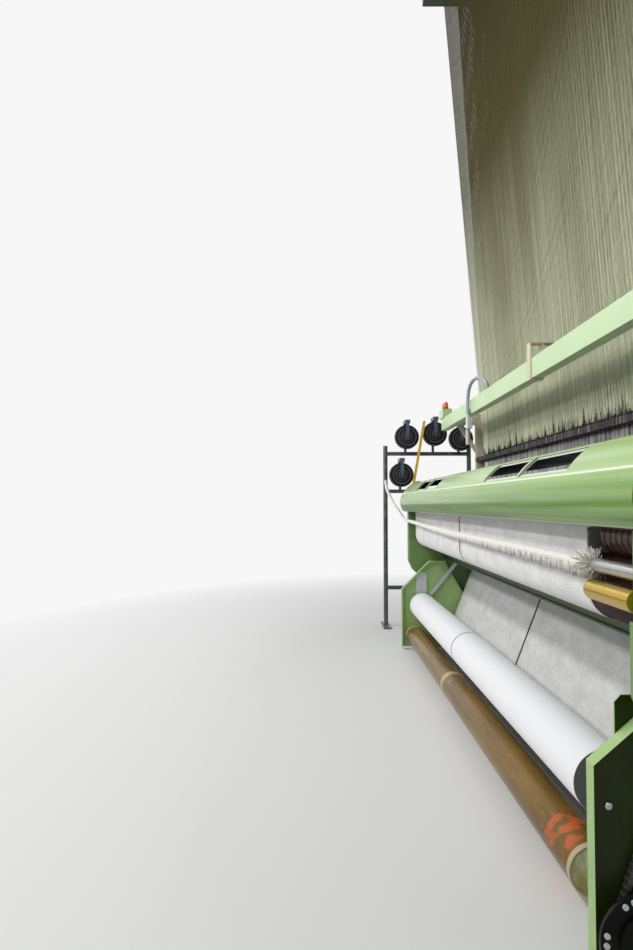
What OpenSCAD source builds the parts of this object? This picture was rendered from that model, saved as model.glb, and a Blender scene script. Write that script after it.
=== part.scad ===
// Power loom with a jacquard harness, two cloths wide, seen from the weaver's side.
// X runs to the weaver's right, Y to the back, Z up, and the floor is at Z = 0.

/* [Width] */
// Middle of the loom to the inner face of each take-up stand plate
plate_in = 1781; // [1770:1:1850]
// Thickness of the take-up stand plates
plate_t = 8; // [5:1:12]
// Stand plate to the inner face of the cast side frame
frame_gap = 44; // [36:1:60]
// Width of the cast side frame along the loom
frame_w = 96; // [80:1:110]
// Right edge of the cloth, to the right of the middle
cloth_right = 1500; // [1400:10:1540]
// Stand plate to the left edge of the cloth
cloth_inset = 21; // [19:1:40]
// Middle of the split between the two cloths
split_x = -185; // [-400:5:200]
// Width of the split between the two cloths
split_w = 12; // [6:1:30]

/* [Cloth path] */
// Thickness drawn for the cloth
cloth_t = 3; // [2:0.5:4]
// Radius of the breast bar
breast_r = 30; // [20:1:34]
// Height of the breast bar's axis
breast_z = 1000; // [990:1:1006]
// Radius of the take-up roller
take_r = 83; // [70:1:88]
// Depth position of the take-up roller's axis
take_y = -675; // [-680:1:-670]
// Height of the take-up roller's axis
take_z = 790; // [785:1:800]
// Radius of the press roller and the two guide rollers
guide_r = 30; // [22:1:34]
// Depth position of the upper guide roller's axis
guide_y = -374; // [-380:1:-368]
// Height of the upper guide roller's axis
guide_z = 631; // [625:1:640]
// Depth position of the lower guide roller's axis
low_y = -542; // [-550:1:-536]
// Height of the lower guide roller's axis
low_z = 201; // [190:1:210]

/* [Cloth roll and front roller] */
// Radius of the cloth wound on the roll
roll_r = 85; // [60:1:88]
// Depth position of the cloth roll's axis
roll_y = -720; // [-724:1:-716]
// Height of the cloth roll's axis
roll_z = 300; // [290:1:320]
// Radius of the brown front roller
front_r = 63; // [50:1:66]
// Depth position of the front roller's axis
front_y = -770; // [-776:1:-764]
// Height of the front roller's axis
front_z = 102; // [101:1:112]
// Right end of the brown tube, to the right of the middle
front_right = 1545; // [1500:5:1600]
// Radius of the journals that carry the rollers
journal_r = 20; // [14:1:22]

/* [Front cover] */
// Thickness of the cover's sheet
cover_t = 4; // [3:0.5:6]
// Height of the crease between the lower and the upper panel
crease_z = 1074.5; // [1070:0.5:1078]
// Left edge of the right-hand pair of windows
window_a = 615; // [500:5:700]
// Length of the right-hand pair of windows
window_a_len = 920; // [700:10:960]
// Left edge of the left-hand pair of windows
window_b = -1275; // [-1350:5:-1200]
// Length of the left-hand pair of windows
window_b_len = 770; // [600:10:900]
// Width of the bar between the windows of a pair
mullion_w = 26; // [16:1:40]

/* [Warp] */
// Radius of the warp wound on the beam
warp_r = 330; // [250:5:370]
// Radius of the warp beam's flanges
flange_r = 400; // [385:5:420]
// Depth position of the warp beam's axis
warp_y = 560; // [550:5:570]
// Height of the warp beam's axis
warp_z = 560; // [550:5:580]
// Radius of the back rest roller
rest_r = 70; // [50:1:75]

/* [Harness] */
// Height of the comber board's underside
comber_z = 1300; // [1290:5:1320]
// Thickness of the comber board
comber_t = 28; // [18:1:36]
// Depth position of the front row of heddles
heddle_y = -291; // [-296:1:-286]
// Depth taken by the rows of heddles
heddle_depth = 260; // [220:5:280]
// Rows of cords from front to back
cord_rows = 6; // [4:1:8]
// Gaps shown between bunches of cords in one row
cord_gaps = 54; // [20:1:60]
// Depth taken by the rows at the jacquard head
head_spread = 1130; // [900:10:1200]
// Depth position of the front row at the jacquard head
head_front = -571; // [-580:1:-560]
// Height of the jacquard head's underside
head_z = 4800; // [4700:10:4900]
// Height of the jacquard head
head_h = 560; // [400:10:700]

/* [Beam over the loom] */
// Height of the beam's underside
beam_z = 1556; // [1540:1:1570]
// Height of the beam's section
beam_h = 88; // [70:1:100]
// Depth of the beam's section
beam_d = 50; // [40:1:60]
// Depth position of the beam's front face
beam_y = -500; // [-520:1:-480]
// Half the length of the beam
beam_half = 2210; // [2150:5:2260]

/* [Take-up chain] */
// Distance from one chain pin to the next
pitch = 15.875; // [15.875]
// Teeth of each chain wheel
teeth = 24; // [24]
// Pitches of chain along each straight run
run_pitches = 24; // [20:1:26]

/* [Hidden] */

$fn = 64;
eps = 0.01;
clear = 0.4;
fit = 0.05;

frame_in = plate_in + plate_t + frame_gap;
frame_out = frame_in + frame_w;
cloth_left = -(plate_in - cloth_inset);
web_t = 26;
rim_w = 18;

// Press roller: it nips the cloth against the take-up roller from behind and above.
nip_angle = 30;
nip = take_r + guide_r + 2 * clear + cloth_t;
press_y = take_y + nip * cos(nip_angle);
press_z = take_z + nip * sin(nip_angle);
breast_y = take_y - take_r + breast_r;

sley_y = -345;
sley_z = 790;
sley_r = 38;
race_z = 960;
reed_y = -372;
reed_h = 140;
fell_y = -480;
fell_z = breast_z + breast_r;

rest_y = 700;
rest_z = 1120;

chain_span = run_pitches * pitch;
chain_lean = 20;
upper_y = front_y + chain_span * sin(chain_lean);
upper_z = front_z + chain_span * cos(chain_lean);
chain_x = plate_in + plate_t + 16;
wheel_pr = pitch / 2 / sin(180 / teeth);
chain_roller_r = 5;

lever_pivot = [-470, 604];
lever_tip = [-650, 385];
lever_w = 24;

// Places a drawing of the (Y, Z) plane between two X positions.
module side(x0, x1) {
    translate([x0, 0, 0]) rotate([90, 0, 90]) linear_extrude(x1 - x0) children();
}

// A round bar along X.
module rod(y, z, r, x0, x1) {
    translate([x0, y, z]) rotate([0, 90, 0]) cylinder(r = r, h = x1 - x0);
}

// A flat strip from one point to another, drawn in two dimensions.
module strut(a, b, w) {
    d = b - a;
    translate(a) rotate(atan2(d.y, d.x)) translate([0, -w / 2]) square([norm(d), w]);
}

// A part of a ring between two angles less than 180 degrees apart.
module ring_part(c, r, t, a0, a1) {
    am = (a0 + a1) / 2;
    far = 3 * r;
    translate(c) intersection() {
        difference() {
            circle(r, $fn = 128);
            circle(r - t, $fn = 128);
        }
        polygon([[0, 0], far * [cos(a0), sin(a0)], far * [cos(am), sin(am)], far * [cos(a1), sin(a1)]]);
    }
}

module mirrored(left) {
    if (left) mirror([1, 0, 0]) children();
    else children();
}

function unit(v) = v / norm(v);

// An anticlockwise outline moved inwards by t, with mitred corners.
function inset(p, t) =
    let(n = len(p))
    [for (i = [0:n - 1])
        let(d0 = unit(p[i] - p[(i + n - 1) % n]), d1 = unit(p[(i + 1) % n] - p[i]),
            n0 = [-d0.y, d0.x], n1 = [-d1.y, d1.x])
        p[i] + t / (1 + n0 * n1) * (n0 + n1)];

function on_circle(c, r, a) = c + r * [cos(a), sin(a)];
function arc_points(c, r, a0, a1, n) = [for (i = [0:n]) on_circle(c, r, a0 + (a1 - a0) * i / n)];
function reversed(p) = [for (i = [len(p) - 1:-1:0]) p[i]];

// Angle of the shared tangent that leaves two circles on the same side.
function tangent_angle(c0, r0, c1, r1, turn) =
    let(d = c1 - c0)
    atan2(d.y, d.x) + turn * acos((r0 - r1) / norm(d));

// Take-up stand plates

plate_front = -860;
plate_foot = 15;
plate_flange = 45;
bracket_points = [[-796, 440], [-690, 440], [-690, 581], [-782, 581], [-796, 566]];

module stand_plate(left) {
    corner = left ? 415 : 443;
    plate_points = [[plate_front, plate_foot], [plate_front, corner], [-670, 605], [-560, 605],
        [-400, 330], [-400, plate_foot]];
    x0 = plate_in;
    x1 = plate_in + plate_t;
    difference() {
        union() {
            side(x0, x1) polygon(plate_points);
            side(x0 - plate_flange + plate_t, x1) intersection() {
                polygon(plate_points);
                union() {
                    strut([plate_front + 2, 0], [plate_front + 2, corner + 3], plate_t);
                    strut([plate_front, corner - 2.5], [-668, 604.5], plate_t);
                    strut([-674, 602.5], [-556, 602.5], plate_t);
                }
            }
            rod(front_y, front_z, journal_r + 22, x0 - 8, x0 + eps);
            if (!left) side(x0 - plate_flange, x0 - plate_flange + plate_t + eps)
                polygon(bracket_points);
            if (!left) rod(upper_y, upper_z, journal_r + 12, x0 - 8, x0 + eps);
            rod(low_y, low_z, journal_r + 14, x0 - 8, x0 + eps);
            rod(-450, 300, 14, x1 - eps, frame_in);
            rod(-560, 60, 16, x1 - eps, frame_in);
        }
        rod(front_y, front_z, journal_r + fit, x0 - 20, x1 + 10);
        if (!left) rod(upper_y, upper_z, journal_r + fit, x0 - 20, x1 + 10);
        rod(low_y, low_z, journal_r + fit, x0 - 20, x1 + 10);
        rod(roll_y, roll_z, journal_r + fit, x0 - 20, x1 + 10);
        for (p = [[-830, 60], [-830, 360], [-450, 60]]) rod(p.x, p.y, 5.5, x0 - 20, x1 + 10);
    }
}

module roll_guide() {
    w = 72;
    top = 531 - w / 2;
    x1 = plate_in - clear / 4;
    difference() {
        side(x1 - 8, x1) {
            translate([roll_y, top]) circle(w / 2);
            translate([roll_y - w / 2, 215]) square([w, top - 215]);
        }
        rod(roll_y, roll_z, journal_r + fit, x1 - 20, x1 + 10);
    }
}

module stand_plate_left() { color([0.59, 0.72, 0.47]) mirrored(true) stand_plate(true); }
module stand_plate_right() { color([0.59, 0.72, 0.47]) stand_plate(false); }

module roll_guides() {
    color([0.82, 0.84, 0.82]) {
        roll_guide();
        mirrored(true) roll_guide();
    }
}

// Levers that hold the roll's ends down, each on a pin of the side frame
module press_lever() {
    x0 = plate_in - 18;
    x1 = x0 + 8;
    difference() {
        side(x0, x1) {
            strut(lever_tip, lever_pivot, lever_w);
            translate(lever_pivot) circle(lever_w / 2 + 5);
            translate(lever_tip) circle(lever_w / 2 + 1.5);
        }
        rod(lever_pivot.x, lever_pivot.y, 10 + fit, x0 - 1, x1 + 1);
    }
    rod(lever_tip.x, lever_tip.y, 9, x0 - 1, x0 + eps);
}

module press_lever_left() { color([0.82, 0.84, 0.82]) mirrored(true) press_lever(); }
module press_lever_right() { color([0.82, 0.84, 0.82]) press_lever(); }

// Cast side frames

nose_y = -797;
frame_points = [[-620, 0], [640, 0], [690, 120], [800, 560], [800, 1190], [620, 1190],
    [600, 1010], [-560, 1010], [-600, 1048], [nose_y, 1048], [nose_y, 600], [-770, 540], [-650, 430],
    [-650, 120]];
window_low = [[-430, 130], [170, 130], [150, 330], [-360, 330]];
tape_notch = [[-500, 905], [-368, 940], [-368, 1030], [-500, 1030]];
window_high = [[-230, 560], [110, 520], [230, 900], [-230, 930]];
foot_x = frame_in + frame_w / 2;
foot_y = 550;
anchor_r = 9;

module side_frame(left) {
    difference() {
        union() {
            side(frame_in, frame_in + web_t) difference() {
                polygon(frame_points);
                polygon(window_low);
                polygon(window_high);
            }
            side(frame_in, frame_out) difference() {
                polygon(frame_points);
                polygon(inset(frame_points, rim_w));
            }
            side(frame_in, frame_out - 24) for (w = [window_low, window_high]) difference() {
                polygon(inset(w, -rim_w));
                polygon(w);
            }
            rod(take_y, take_z, 58, frame_in, frame_out - 8);
            rod(sley_y, sley_z, 54, frame_in, frame_out - 8);
            rod(warp_y, warp_z, 80, frame_in, frame_out - 8);
            rod(rest_y, rest_z, 46, frame_in, frame_out - 8);
            for (s = [-1, 1]) translate([foot_x - 65, s * foot_y - 80, 0]) cube([130, 160, 22]);
            rod(lever_pivot.x, lever_pivot.y, 10, plate_in - 22, frame_in + eps);
        }
        rod(take_y, take_z, 25 + fit, frame_in - 1, frame_out + 1);
        rod(press_y, press_z, journal_r + fit, frame_in - 1, frame_in + web_t + 1);
        rod(guide_y, guide_z, journal_r + fit, frame_in - 1, frame_in + web_t + 1);
        if (!left) {
            rod(steel_y, steel_z, pin_r + fit, frame_in - 1, frame_in + web_t + 1);
            rod(brass_y, brass_z, pin_r + fit, frame_in - 1, frame_in + web_t + 1);
        }
        side(frame_in - 1, frame_out + 1) polygon(tape_notch);
        side(frame_in - 1, frame_in + nose_cut) translate([nose_y - 1, 755]) square([46, 204]);
        rod(sley_y, sley_z, 25 + fit, frame_in - 1, frame_out + 1);
        rod(warp_y, warp_z, 40 + fit, frame_in - 1, frame_out + 1);
        rod(rest_y, rest_z, 25 + fit, frame_in - 1, frame_out + 1);
        for (s = [-1, 1]) translate([foot_x, s * foot_y, 0]) {
            translate([0, 0, -1]) cylinder(r = anchor_r, h = 30);
            translate([0, 0, 22]) cylinder(r = 26, h = 60);
        }
    }
}

module side_frame_left() { color([0.5, 0.62, 0.4]) mirrored(true) side_frame(true); }
module side_frame_right() { color([0.5, 0.62, 0.4]) side_frame(false); }

// Cross members between the side frames

cross_y = -550;
cross_z = 622;
cross_h = 66;
cross_d = 60;

module front_cross_tube() {
    color([0.33, 0.43, 0.25]) {
        difference() {
            side(-frame_in, frame_in) translate([cross_y, cross_z]) square([cross_d, cross_h]);
            side(-frame_in - 1, frame_in + 1) translate([cross_y + 5, cross_z + 5])
                square([cross_d - 10, cross_h - 10]);
        }
        side(-frame_in, frame_in) translate([cross_y - 8, cross_z]) square([8 + eps, 7]);
    }
}

module rear_cross_tubes() {
    color([0.5, 0.62, 0.4]) {
        rod(60, 478, 40, -frame_in, frame_in);
        side(-frame_in, frame_in) translate([20, 930]) square([90, 60]);
        side(-frame_in, frame_in) translate([-385, 60]) square([80, 60]);
    }
}

// Rollers of the cloth's path

module journal_pair(y, z, r, x_body_l, x_body_r, x_end) {
    rod(y, z, r, -x_end, x_body_l + eps);
    rod(y, z, r, x_body_r - eps, x_end);
}

take_end = frame_in - 14;

module take_up_roller() {
    color([0.42, 0.2, 0.14]) {
        rod(take_y, take_z, take_r, -take_end, take_end);
        journal_pair(take_y, take_z, 25, -take_end, take_end, frame_out - 2);
    }
}

module small_roller(y, z, inner, outer) {
    rod(y, z, guide_r, 10 - inner, inner - 10);
    journal_pair(y, z, journal_r, 10 - inner, inner - 10, outer);
}

module press_roller() {
    color([0.6, 0.62, 0.62]) small_roller(press_y, press_z, frame_in, frame_in + web_t);
}

module upper_guide_roller() {
    color([0.6, 0.62, 0.62]) small_roller(guide_y, guide_z, frame_in, frame_in + web_t);
}

// The lower guide roller runs between the two stand plates.
module lower_guide_roller() {
    color([0.6, 0.62, 0.62]) small_roller(low_y, low_z, plate_in - 8, plate_in + plate_t + 4);
}

module breast_bar() {
    color([0.7, 0.72, 0.7]) {
        rod(breast_y, breast_z, breast_r, -frame_in, frame_in);
        side(-frame_in - 20, frame_in + 20) translate([-722, 1048]) square([52, 48]);
    }
}

// Brown front roller, its shaft and the chain drive at its right end

module front_roller() {
    color([0.5, 0.4, 0.2]) difference() {
        rod(front_y, front_z, front_r, cloth_left + 8, front_right);
        rod(front_y, front_z, front_r - 6, cloth_left - 10, cloth_left + 30);
        rod(front_y, front_z, front_r - 6, front_right - 12, front_right + 1);
        rod(front_y, front_z, journal_r, cloth_left - 10, front_right + 10);
    }
}

module front_roller_shaft() {
    color([0.66, 0.64, 0.58]) {
        rod(front_y, front_z, journal_r, -plate_in - plate_t - 6, chain_x + 30);
        rod(front_y, front_z, front_r - 6.2, front_right - 11.5, front_right - 2);
        rod(front_y, front_z, front_r - 6.2, cloth_left + 13, cloth_left + 25);
        rod(front_y, front_z, journal_r + 8, plate_in - 40, plate_in - 24);
        rod(front_y, front_z, journal_r + 8, -plate_in + 13, cloth_left + 8);
    }
}

module chain_wheel(y, z, bored) {
    wheel_t = 8;
    pocket_r = chain_roller_r + 0.4;
    translate([chain_x, y, z]) rotate([0, 90, 0]) difference() {
        union() {
            translate([0, 0, -wheel_t / 2]) cylinder(r = wheel_pr + 4, h = wheel_t);
            translate([0, 0, -12]) cylinder(r = journal_r + 12, h = 24);
        }
        for (i = [0:teeth - 1]) rotate(chain_phase + i * 360 / teeth) translate([wheel_pr, 0, -20])
            linear_extrude(40) {
                circle(pocket_r, $fn = 20);
                polygon([[0, -pocket_r], [8, -pocket_r - 1.6], [8, pocket_r + 1.6], [0, pocket_r]]);
            }
        for (i = [0:5]) rotate(i * 60) translate([wheel_pr * 0.68, 0, -20]) cylinder(r = 8, h = 40);
        if (bored) translate([0, 0, -20]) cylinder(r = journal_r, h = 40);
    }
}

// A wheel drawn about X turns its local X axis to -Z, so pins sit on the tangents at this angle.
chain_phase = -chain_lean;

module chain_wheel_lower() { color([0.2, 0.2, 0.19]) chain_wheel(front_y, front_z, true); }

module chain_wheel_upper() {
    color([0.2, 0.2, 0.19]) {
        chain_wheel(upper_y, upper_z, false);
        rod(upper_y, upper_z, journal_r, plate_in - 9, chain_x + 14);
    }
}

// Pins of the chain in its own plane, round the lower wheel, up one run, round the other and down.
lean_dir = [sin(chain_lean), cos(chain_lean)];
side_dir = [cos(chain_lean), -sin(chain_lean)];
lower_c = [front_y, front_z];
upper_c = [upper_y, upper_z];
half_turn = teeth / 2;
chain_pins = concat(
    [for (i = [0:run_pitches - 1]) lower_c + wheel_pr * side_dir + i * pitch * lean_dir],
    [for (i = [0:half_turn - 1]) on_circle(upper_c, wheel_pr, -chain_lean + i * 180 / half_turn)],
    [for (i = [0:run_pitches - 1]) upper_c - wheel_pr * side_dir - i * pitch * lean_dir],
    [for (i = [0:half_turn - 1]) on_circle(lower_c, wheel_pr, 180 - chain_lean + i * 180 / half_turn)]);

module take_up_chain() {
    n = len(chain_pins);
    color([0.35, 0.34, 0.32]) {
        for (p = chain_pins) {
            rod(p.x, p.y, 3, chain_x - 11, chain_x + 11, $fn = 16);
            rod(p.x, p.y, chain_roller_r, chain_x - 4.5, chain_x + 4.5, $fn = 16);
        }
        for (i = [0:n - 1]) {
            a = chain_pins[i];
            b = chain_pins[(i + 1) % n];
            out = i % 2 == 0 ? 2.5 : 0;
            for (s = [-1, 1]) side(chain_x + s * (6 + out) - 1.2, chain_x + s * (6 + out) + 1.3) {
                strut(a, b, 9);
                translate(a) circle(6.2, $fn = 20);
                translate(b) circle(6.2, $fn = 20);
            }
        }
    }
}

// Round black cover on the front roller's end, with its screws
module hub_cover() {
    cover_x = chain_x + 22;
    color([0.06, 0.06, 0.06]) {
        difference() {
            union() {
                rod(front_y, front_z, 99, cover_x, cover_x + 10);
                rod(front_y, front_z, 60, cover_x, cover_x + 18);
            }
            rod(front_y, front_z, journal_r, cover_x - 1, cover_x + 8);
        }
        for (i = [0:5], a = [110, 123]) {
            p = on_circle([front_y, front_z], 87, i * 60 + a);
            rod(p.x, p.y, 6, cover_x + 10 - eps, cover_x + 15);
        }
    }
}

// Cloth: one strip in side view, from the fell over every roller to the roll

mid = clear + cloth_t / 2;
breast_c = [breast_y, breast_z];
take_c = [take_y, take_z];
press_c = [press_y, press_z];
guide_c = [guide_y, guide_z];
low_c = [low_y, low_z];
roll_c = [roll_y, roll_z];
leave_press = tangent_angle(press_c, guide_r, guide_c, guide_r, 1);
leave_guide = tangent_angle(guide_c, guide_r, low_c, guide_r, 1);
leave_low = tangent_angle(low_c, guide_r + mid, roll_c, roll_r + mid, 1);

// h is the distance from the middle of the cloth, towards its back face.
function cloth_line(h) = concat(
    [[fell_y, fell_z + mid + h]],
    arc_points(breast_c, breast_r + mid + h, 90, 180, 8),
    arc_points(take_c, take_r + mid + h, 180, 360 + nip_angle, 20),
    arc_points(press_c, guide_r + mid - h, 180 + nip_angle, leave_press, 12),
    arc_points(guide_c, guide_r + mid - h, leave_press, leave_guide, 6),
    arc_points(low_c, guide_r + mid - h, leave_guide, leave_low - 360, 6),
    [on_circle(roll_c, roll_r + mid - h, leave_low)]);

module cloth_pieces(x0, x1) {
    side(x0, split_x - split_w / 2) children();
    side(split_x + split_w / 2, x1) children();
}

module cloth() {
    color([0.75, 0.76, 0.74]) cloth_pieces(cloth_left, cloth_right)
        polygon(concat(cloth_line(cloth_t / 2), reversed(cloth_line(-cloth_t / 2))));
}

module cloth_roll() {
    color([0.92, 0.92, 0.92]) cloth_pieces(cloth_left, cloth_right) difference() {
        translate(roll_c) circle(roll_r, $fn = 96);
        translate(roll_c) circle(32);
    }
}

module roll_core() {
    color([0.35, 0.34, 0.32]) {
        rod(roll_y, roll_z, 32, cloth_left - 4, cloth_right + 40);
        rod(roll_y, roll_z, journal_r, -plate_in - plate_t - 8, plate_in + plate_t + 4);
    }
}

// Green cover over the breast of the loom

low_arc_c = [-734.8, crease_z - 61.3];
low_arc_r = 113.2;
low_start = 212.7;
low_end = 147.2;
high_arc_c = [-633.4, crease_z - 118.9];
high_arc_r = 229.8;
high_start = 148.8;
high_end = 121.5;
cover_top = on_circle(high_arc_c, high_arc_r, high_end);
cover_back = -668;
cover_end = frame_out + 46;

module cover_skin(t) {
    ring_part(low_arc_c, low_arc_r, t, low_end, low_start);
    ring_part(high_arc_c, high_arc_r, t, high_end, high_start);
    strut(cover_top - [0, t / 2], [cover_back, cover_top.y + 4 - t / 2], t);
    strut([cover_back, cover_top.y + 5], [cover_back, cover_top.y - 30], t);
    strut([-830, crease_z - t / 2], [-818, crease_z + 4 - t / 2], t);
    strut(on_circle(low_arc_c, low_arc_r - t / 2, low_start), [-812, 948], t);
}

module window_cut(x0, len, z0, grow) {
    half = (len - mullion_w) / 2;
    for (i = [0, 1]) side(x0 + i * (half + mullion_w) - grow, x0 + i * (half + mullion_w) + half + grow)
        polygon([[-900, z0 - grow], [-900, 1300], [cover_top.x - 6 + grow, 1300],
            [cover_top.x - 6 + grow, 1100], [-790, z0 - grow]]);
}

sill_z = crease_z + 9;

module breast_cover() {
    color([0.59, 0.71, 0.45]) difference() {
        union() {
            side(-frame_out, cover_end) cover_skin(cover_t);
            for (s = [-1, 1]) side(s * (frame_in + 30) - 4, s * (frame_in + 30) + 4) intersection() {
                cover_outline(0.99);
                translate([-900, 1048]) square([300, 200]);
            }
        }
        window_cut(window_a, window_a_len, sill_z, 0);
        window_cut(window_b, window_b_len, sill_z, 0);
    }
}

// Pale rims that line the cover's windows
module window_rims() {
    color([0.86, 0.89, 0.84]) for (w = [[window_a, window_a_len], [window_b, window_b_len]])
        difference() {
            intersection() {
                side(-frame_out, frame_out) ring_part(high_arc_c, high_arc_r - cover_t - clear, 3,
                    high_end + 1, high_start - 2.5);
                window_cut(w[0], w[1], sill_z, 8);
            }
            window_cut(w[0], w[1], sill_z + 3, -3);
        }
}

// Filled outline of the cover, grown or shrunk about its middle
module cover_outline(k) {
    c = [-760, 1050];
    translate(c) scale(k) translate(-c) {
        intersection() {
            translate(low_arc_c) circle(low_arc_r, $fn = 64);
            translate([-900, 950]) square([230, crease_z - 950]);
        }
        intersection() {
            translate(high_arc_c) circle(high_arc_r, $fn = 96);
            translate([-832, crease_z - 1]) square([162, 90]);
        }
    }
}

module cover_nose() {
    color([0.59, 0.71, 0.45]) hull() {
        side(-frame_out - 6, -frame_out - clear / 4) cover_outline(1);
        side(-frame_out - 60, -frame_out - 58) cover_outline(0.86);
        side(-frame_out - 96, -frame_out - 94) cover_outline(0.5);
    }
}

module cover_end_cap() {
    color([0.04, 0.04, 0.04]) {
        side(cover_end + clear / 4, cover_end + 16) cover_outline(0.97);
        rod(-762, 1032, 56, cover_end + 16 - eps, cover_end + 26);
    }
}

// Waste selvage: the rope that hangs along the cloth, and the rollers that draw it off

rope_r = 8;
rope_points = [[-2697, -880, 1190], [-2620, -884, 1150], [-2520, -884, 1112], [-2420, -880, 1075],
    [-2300, -872, 1030], [-2180, -860, 985], [-2080, -842, 948], [-1990, -834, 915],
    [-1900, -829, 898], [-1825, -826, 888], [-1750, -806, 882], [-1660, -784, 876],
    [-1560, -776, 872], [-1400, -775, 868], [-1150, -775, 863],
    [-850, -774, 860], [-550, -774, 858], [-250, -774, 857], [50, -774, 857], [350, -774, 857],
    [650, -774, 857], [950, -774, 857], [1200, -775, 857], [1450, -776, 856], [1604, -776, 855]];
rope_sides = 8;

function rope_dir(p, i) = unit(p[min(i + 1, len(p) - 1)] - p[max(i - 1, 0)]);
function rope_ring(p, i, r, up) =
    let(d = rope_dir(p, i), u = unit(cross(d, up)), v = cross(u, d))
    [for (k = [0:rope_sides - 1]) p[i] + r * (cos(k * 360 / rope_sides) * u
        + sin(k * 360 / rope_sides) * v)];

// A tube along a list of points, with flat ends.
module tube_along(p, r, up) {
    n = len(p);
    points = [for (i = [0:n - 1]) each rope_ring(p, i, r, up)];
    sides = [for (i = [0:n - 2], k = [0:rope_sides - 1])
        [i * rope_sides + k, i * rope_sides + (k + 1) % rope_sides,
            (i + 1) * rope_sides + (k + 1) % rope_sides, (i + 1) * rope_sides + k]];
    first = [for (k = [rope_sides - 1:-1:0]) k];
    last = [for (k = [0:rope_sides - 1]) (n - 1) * rope_sides + k];
    polyhedron(points, concat(sides, [first, last]), convexity = 10);
}

module selvage_rope() { color([0.93, 0.92, 0.88]) tube_along(rope_points, rope_r, [0, 0, 1]); }

steel_y = -776;
steel_z = 854;
brass_y = -786;
brass_z = 797;
brass_r = 25;

pin_r = 6;
selvage_x = cloth_right + 105;
nose_cut = 20;

// Each roller sticks out inwards from the side frame, which carries its pin.
module selvage_roller_steel() {
    color([0.7, 0.71, 0.7]) {
        rod(steel_y, steel_z, 18, selvage_x, frame_in + nose_cut - clear);
        rod(steel_y, steel_z, pin_r, frame_in + nose_cut - 1, frame_in + web_t);
    }
}

module selvage_roller_brass() {
    color([0.78, 0.68, 0.34]) {
        rod(brass_y, brass_z, brass_r, selvage_x + 4, frame_in + nose_cut - clear);
        rod(brass_y, brass_z, pin_r, frame_in + nose_cut - 1, frame_in + web_t);
        translate([selvage_x + 4, brass_y, brass_z]) sphere(r = brass_r);
    }
}

// Round brown housing of the selvage drive with its inner guard plate, under the cover at the right
drive_y = -705;
drive_z = 922;
drive_r = 46;

module selvage_drive() {
    color([0.3, 0.12, 0.08]) difference() {
        union() {
            rod(drive_y, drive_z, drive_r, cloth_right + 60, frame_in);
            rod(drive_y, drive_z, drive_r - 16, cloth_right + 16, cloth_right + 60 + eps);
            side(cloth_right + 14, cloth_right + 20) difference() {
                intersection() {
                    translate([drive_y, drive_z - 17]) circle(62);
                    translate([drive_y - 80, take_z + take_r + 7]) square([160, 100]);
                }
                translate(breast_c) circle(breast_r + 3);
            }
        }
        for (i = [0:6]) translate([cloth_right + 84 + i * 34, 0, 0]) side(0, 6) difference() {
            translate([drive_y, drive_z]) circle(drive_r + 1);
            translate([drive_y, drive_z]) circle(drive_r - 4);
        }
    }
}

// Sley with its shaft, swords, race and reed

sley_half = 1700;
race_half = frame_in - 33;
reed_l = cloth_left + 50;
reed_len = cloth_right + 30 - reed_l;
sword_count = 7;

module sley() {
    color([0.55, 0.56, 0.55]) {
        rod(sley_y, sley_z, sley_r, -frame_in + 3, frame_in - 3);
        journal_pair(sley_y, sley_z, 25, -frame_in + 3, frame_in - 3, wheel_x + 30);
        for (s = [-1, 1]) translate([s * wheel_x, 0, rapier_z - wheel_r]) {
            translate([-28, sley_y - 27, -22]) cube([56, 24, 60]);
            translate([0, sley_y - 26, 0]) rotate([90, 0, 0]) cylinder(r = 16, h = 50);
        }
        for (i = [0:sword_count - 1]) {
            x = -sley_half + 40 + i * (2 * sley_half - 100) / (sword_count - 1);
            side(x, x + 22) {
                strut([sley_y, sley_z], [reed_y - 4, race_z - 28], 34);
                translate([sley_y, sley_z]) circle(46);
            }
        }
        side(-race_half, race_half) polygon([[reed_y - 34, race_z - 40], [reed_y + 26, race_z - 40],
            [reed_y + 26, race_z + 18], [reed_y + 4.2, race_z + 18], [reed_y + 4.2, race_z - 4],
            [reed_y - 4.2, race_z - 4], [reed_y - 4.2, race_z], [reed_y - 38, race_z],
            [reed_y - 38, race_z - 30]]);
    }
}

reed_gaps = 100;

module reed() {
    step = (reed_len - 24) / reed_gaps;
    color([0.62, 0.63, 0.64]) {
        translate([reed_l, reed_y + 1.5, race_z - 3.8]) rotate([90, 0, 0]) linear_extrude(3)
            difference() {
                square([reed_len, reed_h]);
                for (i = [0:reed_gaps - 1]) translate([12 + i * step + step * 0.3, 22])
                    square([step * 0.4, reed_h - 36]);
            }
        translate([reed_l, reed_y - 3.5, race_z - 3.8 + reed_h - eps]) cube([reed_len, 7, 8]);
    }
}

// Rapiers: a gripper head on the race in front of the reed, and the wheel that drives its tape

wheel_r = 220;
wheel_x = frame_out + 290;
head_len = 110;
rapier_y = reed_y - 24;
rapier_z = race_z + 11 + clear;

module rapier_head(left) {
    edge = left ? -cloth_left : cloth_right;
    mirrored(left) color([0.3, 0.31, 0.32]) translate([edge + 24, rapier_y, rapier_z]) difference() {
        union() {
            rotate([90, 0, 0]) translate([0, 0, -9]) linear_extrude(18)
                polygon([[0, -3], [18, -9], [head_len, -11], [head_len, 11], [30, 10], [8, 4]]);
            translate([head_len - eps, -5, clear]) cube([wheel_x - edge - 24 - head_len, 10, 3]);
        }
        translate([8, -20, 0]) cube([26, 16, 5]);
        translate([60, 0, 0]) rotate([90, 0, 0]) cylinder(r = 4, h = 40, center = true);
    }
}

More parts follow.
